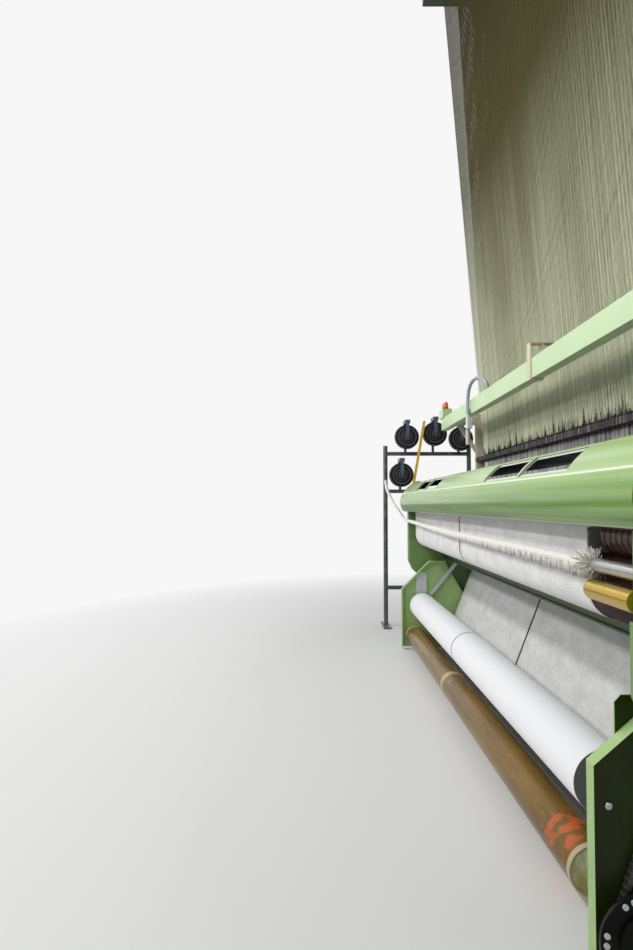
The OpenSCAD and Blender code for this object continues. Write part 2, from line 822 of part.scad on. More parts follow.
module rapier_wheel(left) {
    mirrored(left) color([0.4, 0.42, 0.42]) translate([wheel_x, rapier_y, rapier_z - wheel_r])
        rotate([90, 0, 0]) difference() {
            union() {
                difference() {
                    translate([0, 0, -9]) cylinder(r = wheel_r, h = 18);
                    translate([0, 0, -12]) cylinder(r = wheel_r - 26, h = 24);
                }
                translate([0, 0, -20]) cylinder(r = 46, h = 40);
                for (i = [0:5]) rotate(i * 60) translate([30, -11, -6]) cube([wheel_r - 50, 22, 12]);
            }
            for (i = [0:35]) rotate(i * 10) translate([wheel_r, 0, -20]) cylinder(r = 4, h = 40, $fn = 16);
            translate([0, 0, -30]) cylinder(r = 16 + fit, h = 60);
        }
}

module rapier_head_left() { rapier_head(true); }
module rapier_head_right() { rapier_head(false); }
module rapier_wheel_left() { rapier_wheel(true); }
module rapier_wheel_right() { rapier_wheel(false); }

// Warp beam, back rest, warp and drop wires

warp_left = cloth_left + 30;
warp_right = cloth_right - 20;

module warp_beam() {
    color([0.62, 0.64, 0.63]) {
        rod(warp_y, warp_z, warp_r, warp_left, warp_right);
        rod(warp_y, warp_z, flange_r, warp_left - 16, warp_left + eps);
        rod(warp_y, warp_z, flange_r, warp_right - eps, warp_right + 16);
        rod(warp_y, warp_z, 95, -frame_in + 6, frame_in - 6);
        rod(warp_y, warp_z, 40, -frame_out + 2, frame_out - 2);
    }
}

module back_rest() {
    color([0.7, 0.71, 0.7]) {
        rod(rest_y, rest_z, rest_r, -frame_in + 8, frame_in - 8);
        journal_pair(rest_y, rest_z, 25, -frame_in + 8, frame_in - 8, frame_out - 2);
    }
}

rack_y = 250;
rack_z = 1150;
rest_c = [rest_y, rest_z];
warp_c = [warp_y, warp_z];
warp_leave = tangent_angle(warp_c, warp_r + mid, rest_c, rest_r + mid, -1);

function warp_line(h) = concat(
    [on_circle(warp_c, warp_r + mid + h, warp_leave)],
    arc_points(rest_c, rest_r + mid + h, warp_leave, 96, 6),
    [[rack_y, rack_z - 2 + h], [heddle_y + heddle_depth + 40, 1090 + h]]);

module warp_sheet() {
    color([0.86, 0.85, 0.8]) side(warp_left + 2, warp_right - 2)
        polygon(concat(warp_line(1), reversed(warp_line(-1))));
}

drop_wires = 60;

module drop_wire_rack() {
    l = warp_right - warp_left;
    step = l / drop_wires;
    color([0.5, 0.52, 0.52]) {
        for (y = [rack_y - 90, rack_y - 40]) {
            translate([0, y, 0]) rotate([90, 0, 0]) linear_extrude(3) translate([warp_left, 0])
                difference() {
                    translate([0, rack_z + 12]) square([l, 74]);
                    for (i = [0:drop_wires - 1]) translate([i * step + step * 0.3, rack_z + 22])
                        square([step * 0.4, 54]);
                }
        }
        for (s = [-1, 1]) translate([s > 0 ? warp_right : warp_left - 14, rack_y - 120, 990])
            cube([14, 110, 250]);
        for (s = [-1, 1]) translate([s > 0 ? warp_right : -frame_in, rack_y - 110, 990.3])
            cube([s > 0 ? frame_in - warp_right : frame_in + warp_left, 90, 24]);
    }
}

// Comber board, heddles and harness

cords_left = cloth_left + 60;
cords_right = cloth_right - 10;
row_gap = heddle_depth / (cord_rows - 1);
head_gap = head_spread / (cord_rows - 1);
heddle_foot = 420;
cord_seat = 0.8;

board_half = frame_in + 35;
frame_top = 1010;

module comber_board() {
    color([0.1, 0.08, 0.1]) {
        difference() {
            translate([-board_half, heddle_y - 26, comber_z])
                cube([2 * board_half, heddle_depth + 52, comber_t]);
            for (i = [0:cord_rows - 2]) translate([cords_left, heddle_y + (i + 0.35) * row_gap, comber_z - 1])
                cube([cords_right - cords_left, row_gap * 0.3, comber_t + 2]);
        }
        for (s = [-1, 1]) translate([s * (board_half - 16) - 14, heddle_y + 70, frame_top])
            cube([28, 150, comber_z - frame_top + eps]);
    }
}

// A wall of upright bunches with gaps, leaning from one depth position to another.
module cord_wall(z0, z1, y0, y1, t, gaps) {
    l = cords_right - cords_left;
    step = (l - 20) / gaps;
    margin = 14;
    lean = atan2(y0 - y1, z1 - z0);
    h = norm([y1 - y0, z1 - z0]);
    translate([cords_left, y0, z0]) rotate([90 + lean, 0, 0])
        translate([0, 0, -t / 2]) linear_extrude(t) difference() {
            square([l, h]);
            for (i = [0:gaps - 1]) translate([10 + (i + 0.35) * step, margin])
                square([step * 0.3, h - 2 * margin]);
        }
}

module heddles() {
    color([0.72, 0.72, 0.7]) {
        for (i = [0:cord_rows - 1]) cord_wall(heddle_foot, comber_z - clear,
            heddle_y + i * row_gap, heddle_y + i * row_gap, 3, cord_gaps);
        translate([-frame_in + 0.3, heddle_y - 20, heddle_foot - 50])
            cube([2 * frame_in - 0.6, heddle_depth + 40, 50 + eps]);
    }
}

module harness() {
    color([0.78, 0.8, 0.64]) for (i = [0:cord_rows - 1])
        cord_wall(comber_z + comber_t + cord_seat, head_z - cord_seat, heddle_y + i * row_gap,
            head_front + i * head_gap, 5, cord_gaps);
}

// Pale beam over the loom, the strap at its middle, the posts and the lamps

module over_beam() {
    color([0.82, 0.92, 0.75]) {
        difference() {
            translate([-beam_half, beam_y, beam_z]) cube([2 * beam_half, beam_d, beam_h]);
            translate([-beam_half - 1, beam_y + 4, beam_z + 4])
                cube([2 * beam_half + 2, beam_d - 8, beam_h - 8]);
        }
        for (s = [-1, 1]) translate([s * (beam_half - 40) - 75, beam_y - 10, beam_z + beam_h - eps])
            cube([150, 70, 66]);
    }
}

strap_x = 115;
strap_w = 56;
strap_rise = 72;

module beam_strap() {
    t = 5;
    color([0.86, 0.82, 0.72]) difference() {
        side(strap_x - strap_w / 2, strap_x + strap_w / 2) {
            translate([beam_y - t - clear / 4, beam_z - t - clear / 4]) square([t, beam_h + strap_rise + t]);
            translate([beam_y - t, beam_z - t - clear / 4]) square([beam_d + 2 * t, t]);
            translate([beam_y + beam_d + clear / 4, beam_z - t]) square([t, beam_h + strap_rise]);
            translate([beam_y - t - clear / 4, beam_z + beam_h + strap_rise - t]) square([110, t]);
        }
        for (y = [beam_y + 14, beam_y + 88]) translate([strap_x, y, beam_z + beam_h])
            cylinder(r = 5.5, h = 100);
    }
}

post_x = frame_in + 39;

module beam_post() {
    z0 = frame_top;
    color([0.86, 0.82, 0.72]) {
        translate([post_x, -310, z0]) difference() {
            cube([50, 60, beam_z + beam_h - z0]);
            translate([5, 5, 12]) cube([50, 50, beam_z - z0 - 30]);
        }
        translate([post_x, beam_y + beam_d, beam_z + 10]) cube([50, -310 - beam_y - beam_d + eps, 60]);
        side(post_x + 10, post_x + 30) strut([beam_y + beam_d + 20, beam_z + 14], [-300, beam_z - 190], 26);
        translate([post_x, -345, z0]) cube([54, 110, 14]);
    }
}

module beam_posts() {
    beam_post();
    mirrored(true) beam_post();
}

module lamp(x, y, z, r, h) {
    translate([x, y, z]) {
        cylinder(r = r + 4, h = 12);
        translate([0, 0, 12 - eps]) cylinder(r = r, h = h - r);
        translate([0, 0, 12 + h - r - eps]) sphere(r = r);
    }
}

module signal_lamps() {
    top = beam_z + beam_h + 66;
    color([0.9, 0.35, 0.1]) {
        for (s = [-1, 1]) {
            lamp(s * (beam_half - 80), beam_y + 20, top, 17, 44);
            lamp(s * (beam_half - 20), beam_y + 20, top, 17, 44);
        }
    }
}

// Grey cable conduit that arches from a tube in front of the beam to the beam's top
conduit_points = [[-1150, -518, 1554.3], [-1150, -518, 1600], [-1150, -517, 1650], [-1143, -514, 1695],
    [-1118, -508, 1730], [-1075, -500, 1750], [-1020, -492, 1755], [-960, -486, 1748],
    [-900, -482, 1730], [-850, -478, 1712], [-815, -476, 1690], [-806, -475, 1668], [-806, -475, 1644.3]];

module conduit() {
    color([0.62, 0.68, 0.72]) {
        tube_along(conduit_points, 11, [0, 1, 0]);
        rod_z(-1150, -518, 13, 1366, 1554);
        translate([-1166, -506.7, 1556]) cube([32, 6.6, 26]);
        translate([-1140, -532, 1460]) cube([50, 30, 70]);
    }
}

module rod_z(x, y, r, z0, z1) { translate([x, y, z0]) cylinder(r = r, h = z1 - z0); }

// Weft side: the stand, the feeders, the yellow guide arm and the eyelet plate

stand_x = -2720;
feeder_r = 98;
feeder_places = [[-715, 1545], [-487, 1570], [-275, 1530], [-760, 1236]];
feeder_nose = -2560;

module feeder_stand() {
    color([0.28, 0.3, 0.28]) {
        for (y = [-880, -190]) {
            rod_z(stand_x, y, 18, 12, 1480);
            translate([stand_x - 160, y - 30, 0]) cube([320, 60, 12 + eps]);
        }
        translate([stand_x - 15, -880, 1400]) cube([30, 690, 30]);
        translate([stand_x - 15, -880, 1090]) cube([30, 690, 30]);
        translate([stand_x - 15, -880, 300]) cube([30, 690, 30]);
        for (p = feeder_places) rod_z(stand_x, p[0], 11, p[1] < 1400 ? 1120 - eps : 1430 - eps,
            p[1] - 62);
        translate([stand_x + 194, -694, 1105]) rotate([-10, 0, 0]) cube([12, 20, 570]);
        difference() {
            translate([stand_x + 14, -700, 1095]) cube([260, 24, 20]);
            for (i = [0:5]) translate([stand_x + 60 + i * 36, -688, 1090]) cylinder(r = 6, h = 30);
        }
    }
}

module feeder_casing(y, z) {
    x1 = feeder_nose - 78;
    rod(y, z, 52, x1 - 150, x1);
    rod(y, z, 72, x1 - 60, x1);
    translate([x1 - 140, y - 34, z - 62]) cube([130, 68, 60]);
    translate([x1 - 58, y - 20, z + 50]) cube([50, 40, 84]);
    translate([x1 - 58, y - 20, z + feeder_r + 8]) cube([158, 40, 28]);
    rod(y, z, 14, x1 - eps, feeder_nose + 12);
    difference() {
        translate([feeder_nose + 14, y - 12, z - 14]) cube([8, 24, feeder_r + 40]);
        rod(y, z, 7, feeder_nose, feeder_nose + 40);
    }
}

module feeder_casings() {
    color([0.36, 0.42, 0.52]) for (p = feeder_places) feeder_casing(p[0], p[1]);
}

module feeder_flyer(i) {
    p = feeder_places[i];
    color([0.16, 0.15, 0.17]) difference() {
        union() {
            rod(p[0], p[1], feeder_r, feeder_nose - 76, feeder_nose - 40);
            rod(p[0], p[1], feeder_r * 0.8, feeder_nose - 40 - eps, feeder_nose - 14);
            rod(p[0], p[1], feeder_r * 0.42, feeder_nose - 14 - eps, feeder_nose + 8);
        }
        rod(p[0], p[1], 14 + fit, feeder_nose - 100, feeder_nose + 30);
        for (k = [0.9, 0.62]) side(feeder_nose - (k > 0.8 ? 50 : 26), feeder_nose) difference() {
            translate(p) circle(feeder_r * k);
            translate(p) circle(feeder_r * (k - 0.1));
        }
    }
}

module feeder_flyer_1() { feeder_flyer(0); }
module feeder_flyer_2() { feeder_flyer(1); }
module feeder_flyer_3() { feeder_flyer(2); }
module feeder_flyer_4() { feeder_flyer(3); }

// Drive end: motor, belt guard and control cabinet

module main_motor() {
    y = 330;
    z = 250;
    color([0.35, 0.42, 0.35]) {
        rod(y, z, 130, frame_out + 60, frame_out + 380);
        rod(y, z, 140, frame_out + 380 - eps, frame_out + 430);
        rod(y, z, 30, frame_in + web_t, frame_out + 60 + eps);
        for (i = [0:11]) translate([frame_out + 90, y, z]) rotate([i * 30, 0, 0]) translate([0, -4, 120])
            cube([260, 8, 24]);
        translate([frame_out + 90, y - 110, 0]) cube([260, 220, 30]);
        translate([frame_out + 130, y - 40, 30 - eps]) cube([180, 80, 100]);
    }
}

module belt_guard() {
    x0 = frame_out + 8;
    a = [-705, 640];
    b = [-705, 770];
    r = 128;
    color([0.72, 0.82, 0.62]) difference() {
        side(x0, x0 + 42) {
            translate([a.x - r, a.y]) square([2 * r, b.y - a.y]);
            translate(a) circle(r);
            translate(b) circle(r);
        }
        for (i = [0:4]) side(x0 + 36, x0 + 60) translate([a.x - 60 + i * 28, 640]) square([10, 130]);
    }
    color([0.72, 0.82, 0.62]) for (p = [[-760, 765], [-640, 700]])
        rod(p.x, p.y, 14, frame_in + web_t, x0 + eps);
}

module control_cabinet() {
    x0 = column_x + column_w / 2 + 20;
    color([0.72, 0.82, 0.62]) {
        difference() {
            translate([x0, 620, 60]) cube([520, 300, 1040]);
            translate([x0 + 12, 612, 90]) cube([496, 14, 980]);
        }
        translate([x0 + 16, 616, 94]) cube([488, 10 + 4, 972]);
        translate([x0 + 40, 606, 560]) cube([16, 11, 90]);
        translate([x0 + 20, 640, 0]) cube([480, 260, 60 + eps]);
    }
}

// Gantry that carries the jacquard head above the loom

column_x = 2070;
column_w = 100;
column_front = 60;
column_back = 860;

module gantry() {
    top = head_z;
    color([0.2, 0.26, 0.18]) {
        for (s = [-1, 1], y = [column_front, column_back]) {
            difference() {
                translate([s * column_x - column_w / 2, y - column_w / 2, 0]) cube([column_w, column_w, top + eps]);
                translate([s * column_x - column_w / 2 - 1, y - column_w / 2 + 8, 20])
                    cube([column_w / 2 - 4, column_w - 16, top - 40]);
                translate([s * column_x + 5, y - column_w / 2 + 8, 20])
                    cube([column_w / 2, column_w - 16, top - 40]);
            }
            translate([s * column_x - 90, y - 90, 0]) cube([180, 180, 16]);
        }
        for (s = [-1, 1]) {
            translate([s * column_x - column_w / 2, -640, top]) cube([column_w, 1560, 100]);
            side(s * column_x - 30, s * column_x + 30) {
                strut([column_front - 40, top - 420], [column_front - 330, top + 10], 60);
                strut([column_back - 40, top - 700], [column_back - 420, top + 10], 60);
            }
        }
        for (y = [-620, 560]) translate([-column_x, y, top + 10]) cube([2 * column_x, 80, 80]);
    }
}

module jacquard_head() {
    x0 = cords_left - 40;
    x1 = cords_right + 60;
    y0 = head_front - 40;
    d = head_spread + 80;
    half = (x1 - x0 - 40) / 2;
    color([0.6, 0.66, 0.56]) {
        for (i = [0, 1]) {
            x = x0 + i * (half + 40);
            difference() {
                translate([x, y0, head_z + 90]) cube([half, d, head_h - 90]);
                for (k = [0:5]) translate([x + 80 + k * (half - 200) / 5, y0 - 1, head_z + 180])
                    cube([40, 8, head_h - 260]);
                translate([x + 40, y0 + 200, head_z + head_h - 8]) cube([half - 80, d - 400, 30]);
            }
        }
        difference() {
            translate([x0, y0, head_z]) cube([x1 - x0, d, 10]);
            for (i = [0:cord_rows - 2]) translate([x0 + 60, head_front + (i + 0.4) * head_gap, head_z - 1])
                cube([x1 - x0 - 120, head_gap * 0.2, 20]);
        }
        for (i = [0:3]) translate([x0 + 20 + i * (x1 - x0 - 80) / 3, y0 + 73, head_z + 10 - eps])
            cube([40, d - 117, 80 + 2 * eps]);
    }
}

side_frame_left();
side_frame_right();
front_cross_tube();
rear_cross_tubes();
stand_plate_left();
stand_plate_right();
roll_guides();
press_lever_left();
press_lever_right();
front_roller();
front_roller_shaft();
hub_cover();
chain_wheel_lower();
chain_wheel_upper();
take_up_chain();
cloth_roll();
roll_core();
cloth();
take_up_roller();
press_roller();
upper_guide_roller();
lower_guide_roller();
breast_bar();
breast_cover();
cover_nose();
cover_end_cap();
window_rims();
selvage_rope();
selvage_roller_steel();
selvage_roller_brass();
selvage_drive();
sley();
reed();
rapier_head_left();
rapier_head_right();
rapier_wheel_left();
rapier_wheel_right();
warp_beam();
warp_sheet();
back_rest();
drop_wire_rack();
comber_board();
heddles();
harness();
over_beam();
beam_strap();
beam_posts();
signal_lamps();
conduit();
feeder_stand();
feeder_casings();
feeder_flyer_1();
feeder_flyer_2();
feeder_flyer_3();
feeder_flyer_4();
main_motor();
belt_guard();
control_cabinet();
gantry();
jacquard_head();
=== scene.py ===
"""Looks of the power loom: the finishes of its solids, its cloths, harness cords and small fittings.

X runs to the weaver's right, Y to the back and Z up, in metres, with the floor at Z = 0.
"""

import math

import bpy
import numpy as np
from mathutils import Matrix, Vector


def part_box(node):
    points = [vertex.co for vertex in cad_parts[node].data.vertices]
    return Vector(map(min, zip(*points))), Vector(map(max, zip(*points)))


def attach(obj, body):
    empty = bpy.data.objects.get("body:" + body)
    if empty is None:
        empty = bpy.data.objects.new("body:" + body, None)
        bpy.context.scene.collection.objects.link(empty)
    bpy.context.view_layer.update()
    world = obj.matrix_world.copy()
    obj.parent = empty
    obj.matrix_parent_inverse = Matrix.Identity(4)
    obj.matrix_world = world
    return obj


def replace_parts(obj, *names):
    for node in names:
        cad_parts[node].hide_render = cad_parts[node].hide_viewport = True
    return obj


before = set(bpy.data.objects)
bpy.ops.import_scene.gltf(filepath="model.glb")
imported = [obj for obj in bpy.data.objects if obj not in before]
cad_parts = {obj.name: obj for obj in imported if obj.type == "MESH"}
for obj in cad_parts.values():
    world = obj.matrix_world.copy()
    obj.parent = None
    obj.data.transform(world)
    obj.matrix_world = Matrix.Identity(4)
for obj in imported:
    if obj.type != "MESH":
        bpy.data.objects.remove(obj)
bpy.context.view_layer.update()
dice = np.random.default_rng(7)

# Places on the loom, in metres: a line along X has its (Y, Z), a range its two ends, and a box its
# low and high corners

SPLIT = -0.185
# Half width of the painted shade along the cloth's split
SPLIT_SHADE_HALF = 0.011
FRONT_ROLLER = (-0.77, 0.102)
CLOTH_ROLL = (-0.72, 0.3)
CLOTH_ROLL_R = 0.085
FEEDERS = ((-0.715, 1.545), (-0.487, 1.57), (-0.275, 1.53), (-0.76, 1.236))
PLATE_FACE = (1.7886, 1.8)
BRACKET_FACE = (1.7437, 1.7443)
HUB_FACE = 1.8372
HUB_SCREWS_R = 0.075
DRIVE_GUARD = 1.5204
END_DISC = (1.533, 1.5435)
COVER_LIP = 0.954
COVER_CREASE = 1.0745
COVER_BEND = 1.0706
COVER_UPPER_AXIS = (-0.6334, 0.9556)
COVER_UPPER_INSIDE = 0.2277
COVER_LOWER_AXIS = (-0.7348, 1.0132)
COVER_LOWER_INSIDE = 0.1111
SPLICE_RING = (-0.34, -0.285)
ORANGE_SMEAR = (1.33, 1.5)
ROLLER_NEAR_END = (1.525, 1.6)
ROLLER_FAR_END = (-1.8, -1.7)
CREAM_TUBE = (1.3, 1.5545)
LAMP_FEET = (1.70, 1.7218)
GUIDE_ARM = ((-2.53, -0.72, 1.1151), (-2.51, -0.55, 1.7))
EYELET_BAR = ((-2.704, -0.705, 1.09), (-2.44, -0.67, 1.1155))
JUNCTION_BOX = ((-1.141, -0.534, 1.4595), (-1.089, -0.501, 1.5305))

# Finishes


class Finish:
    """One material: a Principled shader, and the few nodes that vary its colour and relief."""

    def __init__(self, name, rough, metal=0.0, coat=0.0, sheen=0.0, specular=0.5):
        """The numbers are the same all over the surface, so they go on the shader's own sockets."""
        self.mat = bpy.data.materials.new(name)
        self.mat.use_nodes = True
        self.tree = self.mat.node_tree
        self.shader = self.tree.nodes["Principled BSDF"]
        self.shader.inputs["Roughness"].default_value = rough
        self.shader.inputs["Metallic"].default_value = metal
        self.shader.inputs["Coat Weight"].default_value = coat
        self.shader.inputs["Coat Roughness"].default_value = 0.12
        self.shader.inputs["Sheen Weight"].default_value = sheen
        self.shader.inputs["Specular IOR Level"].default_value = specular
        self.place = self.node("ShaderNodeTexCoord").outputs["Object"]

    def node(self, kind, **settings):
        made = self.tree.nodes.new(kind)
        for key, value in settings.items():
            setattr(made, key, value)
        return made

    def link(self, source, target):
        self.tree.links.new(source, target)

    def mapped(self, scale, source=None):
        """Coordinates multiplied by scale along each axis."""
        node = self.node("ShaderNodeMapping")
        node.inputs["Scale"].default_value = scale
        self.link(source or self.place, node.inputs["Vector"])
        return node.outputs["Vector"]

    def noise(self, scale, detail=3.0, source=None, rough=0.55):
        """Soft noise, whose steps along each axis are 1 / scale long."""
        node = self.node("ShaderNodeTexNoise")
        node.inputs["Scale"].default_value = 1.0
        node.inputs["Detail"].default_value = detail
        node.inputs["Roughness"].default_value = rough
        self.link(self.mapped(scale, source), node.inputs["Vector"])
        return node.outputs["Fac"]

    def ramp(self, source, low, high):
        """0 below low, 1 above high, and a straight line between."""
        node = self.node("ShaderNodeMapRange")
        node.inputs["From Min"].default_value = low
        node.inputs["From Max"].default_value = high
        self.link(source, node.inputs["Value"])
        return node.outputs["Result"]

    def maths(self, operation, a, b=0.0):
        """One step of arithmetic on a and b, each a number or another node's output."""
        node = self.node("ShaderNodeMath", operation=operation)
        for value, socket in ((a, node.inputs[0]), (b, node.inputs[1])):
            if isinstance(value, (int, float)):
                socket.default_value = value
            else:
                self.link(value, socket)
        return node.outputs["Value"]

    def times(self, a, b):
        return self.maths("MULTIPLY", a, b)

    def axis(self, letter):
        """The coordinate along X, Y or Z."""
        node = self.node("ShaderNodeSeparateXYZ")
        self.link(self.place, node.inputs["Vector"])
        return node.outputs[letter]

    def between(self, letter, low, high, soft):
        """1 where the coordinate lies between low and high, fading over the soft length."""
        value = self.axis(letter)
        return self.times(self.ramp(value, low - soft, low), self.ramp(value, high + soft, high))

    def within(self, low, high, soft):
        """1 inside the box from low to high."""
        x, y, z = (self.between(letter, a, b, soft) for letter, a, b in zip("XYZ", low, high))
        return self.times(self.times(x, y), z)

    def from_axis(self, y, z):
        """Distance from the line along X through the point (y, z)."""
        dy, dz = self.maths("ADD", self.axis("Y"), -y), self.maths("ADD", self.axis("Z"), -z)
        squares = self.maths("ADD", self.times(dy, dy), self.times(dz, dz))
        return self.maths("SQRT", squares)

    def within_radius(self, axis, radius):
        """1 nearer to the axis than the radius, and 0 farther away."""
        return self.ramp(self.from_axis(*axis), radius + 0.0003, radius - 0.0003)

    def mix(self, amount, a, b):
        """The colour a where amount is 0 and b where it is 1."""
        node = self.node("ShaderNodeMix", data_type="RGBA")
        for value, socket in ((amount, node.inputs[0]), (a, node.inputs[6]), (b, node.inputs[7])):
            if isinstance(value, (int, float)):
                socket.default_value = value
            elif isinstance(value, tuple):
                socket.default_value = (*value, 1.0)
            else:
                self.link(value, socket)
        return node.outputs[2]

    def colour(self, value):
        self.link(value, self.shader.inputs["Base Color"])
        return self

    def relief(self, height, strength, distance=0.001):
        node = self.node("ShaderNodeBump")
        node.inputs["Strength"].default_value = strength
        node.inputs["Distance"].default_value = distance
        self.link(height, node.inputs["Height"])
        self.link(node.outputs["Normal"], self.shader.inputs["Normal"])
        return self


def linear(r, g, b):
    """A display colour from 0 to 255, as the shader's linear light."""
    values = np.array([r, g, b]) / 255.0
    return tuple(np.where(values <= 0.04045, values / 12.92, ((values + 0.055) / 1.055) ** 2.4).tolist())


def painted(name, colour, rough=0.38, coat=0.0, grime=0.25, grime_colour=None, specular=0.22):
    """Sprayed paint: broad cloudy changes of tone and a few darker specks of dust."""
    made = Finish(name, rough, coat=coat, specular=specular)
    base = linear(*colour)
    dark = linear(*(grime_colour or tuple(c * 0.72 for c in colour)))
    cloud = made.ramp(made.noise((2.3, 2.3, 2.3), 4.0), 0.42, 0.72)
    speck = made.ramp(made.noise((60.0, 60.0, 60.0), 2.0), 0.62, 0.72)
    soiled = made.maths("MINIMUM", made.maths("ADD", made.times(cloud, grime),
                                              made.times(speck, grime * 0.6)), 1.0)
    made.colour(made.mix(soiled, base, dark))
    made.relief(made.noise((350.0, 350.0, 350.0), 2.0), 0.08, 0.0004)
    return made


def turned_steel(name, colour, rough, metal=1.0):
    """Ground metal: fine lines round the piece, and a slow drift of tone."""
    made = Finish(name, rough, metal=metal)
    lines = made.noise((400.0, 6.0, 6.0), 2.0)
    drift = made.noise((5.0, 5.0, 5.0), 3.0)
    mixed = made.maths("ADD", made.times(lines, 0.5), made.times(drift, 0.5))
    base = linear(*colour)
    made.colour(made.mix(made.ramp(mixed, 0.3, 0.7), tuple(c * 0.72 for c in base), base))
    made.relief(lines, 0.1, 0.0003)
    return made


def yarn(name, colour, dark, scale=(900.0, 900.0, 60.0)):
    """Spun yarn: a fleck of shade along each thread, tinted by the piece's own tint attribute."""
    made = Finish(name, 0.85, sheen=0.15)
    tint = made.node("ShaderNodeAttribute", attribute_name="tint").outputs["Fac"]
    fleck = made.ramp(made.noise(scale, 2.0), 0.35, 0.75)
    shade = made.maths("MINIMUM", made.maths("ADD", made.times(fleck, 0.2), tint), 1.0)
    made.colour(made.mix(shade, linear(*colour), linear(*dark)))
    return made


def woven(name, colour, dark, contrast):
    """Plain weave with slubs along both directions of the cloth's own map, in metres, and painted shade
    as dark edges where its two widths meet."""
    made = Finish(name, 0.88, sheen=0.2)
    flat = made.node("ShaderNodeUVMap", uv_map="cloth").outputs["UV"]
    slub_a = made.noise((1300.0, 45.0, 1.0), 3.0, flat, 0.6)
    slub_b = made.noise((45.0, 1300.0, 1.0), 3.0, flat, 0.6)
    patch = made.noise((9.0, 14.0, 1.0), 3.0, flat)
    threads = made.maths("ADD", made.times(slub_a, 0.5), made.times(slub_b, 0.5))
    tone = made.maths("ADD", made.times(threads, 0.8), made.times(patch, 0.2))
    spread = 0.12 / contrast
    base = made.mix(made.ramp(tone, 0.5 - spread, 0.5 + spread), linear(*dark), linear(*colour))
    # Painted shade: the edges at the split are painted dark for the shade seen in the gap
    edge = made.between("X", SPLIT - SPLIT_SHADE_HALF, SPLIT + SPLIT_SHADE_HALF, 0.001)
    made.colour(made.mix(edge, base, linear(48, 44, 42)))
    made.relief(threads, 0.35, 0.0006)
    return made


paints = {
    "frame_green": painted("frame_green", (116, 148, 92), 0.42, grime=0.5),
    "tube_green": painted("tube_green", (66, 88, 50), 0.4, grime=0.4),
    "beam_mint": painted("beam_mint", (198, 224, 174), 0.3, coat=0.1, grime=0.14),
    "post_cream": painted("post_cream", (214, 205, 178), 0.45, grime=0.3),
    "gantry_green": painted("gantry_green", (72, 88, 66), 0.5, grime=0.4),
    "head_grey": painted("head_grey", (176, 186, 166), 0.5, grime=0.2),
    "guide_grey": painted("guide_grey", (208, 210, 216), 0.4, grime=0.3),
    "motor_green": painted("motor_green", (92, 108, 88), 0.5, grime=0.4),
    "black_satin": painted("black_satin", (18, 19, 18), 0.35, grime_colour=(40, 40, 36), specular=0.1),
    "rim_pale": painted("rim_pale", (216, 224, 208), 0.35, grime=0.15),
    "rubber_red": painted("rubber_red", (62, 38, 32), 0.8, grime=0.4),
}
metals = {
    "steel": turned_steel("steel", (196, 198, 192), 0.28),
    "oily_steel": turned_steel("oily_steel", (96, 94, 88), 0.45, metal=0.7),
    "brass": turned_steel("brass", (210, 174, 62), 0.24),
}


def plate_finish():
    """Light green paint, with painted shade in dark green on the two faces at the drive end that look
    away from the loom: the right plate's and its bracket's."""
    made = Finish("plate_green", 0.36, specular=0.2)
    cloud = made.ramp(made.noise((3.0, 3.0, 3.0), 4.0), 0.42, 0.7)
    scuff = made.ramp(made.noise((24.0, 24.0, 9.0), 4.0), 0.6, 0.72)
    base = made.mix(made.times(cloud, 0.4), linear(166, 198, 130), linear(118, 148, 88))
    base = made.mix(made.times(scuff, 0.5), base, linear(206, 216, 190))
    plate, bracket = made.between("X", *PLATE_FACE, 0.0002), made.between("X", *BRACKET_FACE, 0.0002)
    outer = made.maths("MAXIMUM", plate, bracket)
    # Painted shade: the faces turned away from the loom at the drive end are painted dark green
    painted_shade = made.mix(cloud, linear(40, 52, 16), linear(26, 32, 12))
    return made.colour(made.mix(outer, base, painted_shade))


def cover_finish():
    """Glossy green sheet: painted paler above the crease and deeper towards the lower lip as painted light
    and shade, with painted highlight streaks along its length, a painted highlight on the crease and the lip,
    and painted shade, dark grey, inside, where it lies nearer its arcs' axes."""
    made = Finish("cover_green", 0.18, specular=0.2)
    z = made.axis("Z")
    # Painted highlights: paler streaks along the length stand for the lamps' reflections
    streak = made.ramp(made.noise((0.8, 50.0, 50.0), 3.0), 0.4, 0.7)
    # Painted shade and light: the lower panel is painted darker towards the lip, the upper panel paler
    lower = made.mix(made.ramp(z, 0.95, 1.07), linear(66, 104, 22), linear(132, 170, 82))
    lower = made.mix(made.times(streak, 0.3), lower, linear(190, 218, 152))
    upper = made.mix(made.times(streak, 0.4), linear(160, 194, 118), linear(198, 222, 168))
    base = made.mix(made.ramp(z, COVER_CREASE - 0.001, COVER_CREASE + 0.001), lower, upper)
    # Painted highlight: a near-white line along the crease
    crease = made.between("Z", COVER_CREASE - 0.002, COVER_CREASE + 0.002, 0.001)
    base = made.mix(crease, base, linear(232, 248, 220))
    # Painted highlight: the lower lip is painted pale
    lip = made.ramp(z, COVER_LIP + 0.002, COVER_LIP - 0.002)
    base = made.mix(made.times(lip, 0.8), base, linear(178, 188, 158))
    spot = made.ramp(made.noise((30.0, 30.0, 30.0), 3.0), 0.66, 0.74)
    base = made.mix(made.times(spot, 0.35), base, linear(104, 122, 72))
    # Painted shade: the sheet's inner faces are painted dark grey
    high = made.times(made.within_radius(COVER_UPPER_AXIS, COVER_UPPER_INSIDE),
                      made.ramp(z, COVER_BEND - 0.0006, COVER_BEND + 0.0006))
    low = made.times(made.within_radius(COVER_LOWER_AXIS, COVER_LOWER_INSIDE),
                     made.ramp(z, COVER_BEND + 0.0006, COVER_BEND - 0.0006))
    inside = made.maths("MAXIMUM", high, low)
    return made.colour(made.mix(inside, base, linear(62, 60, 68)))


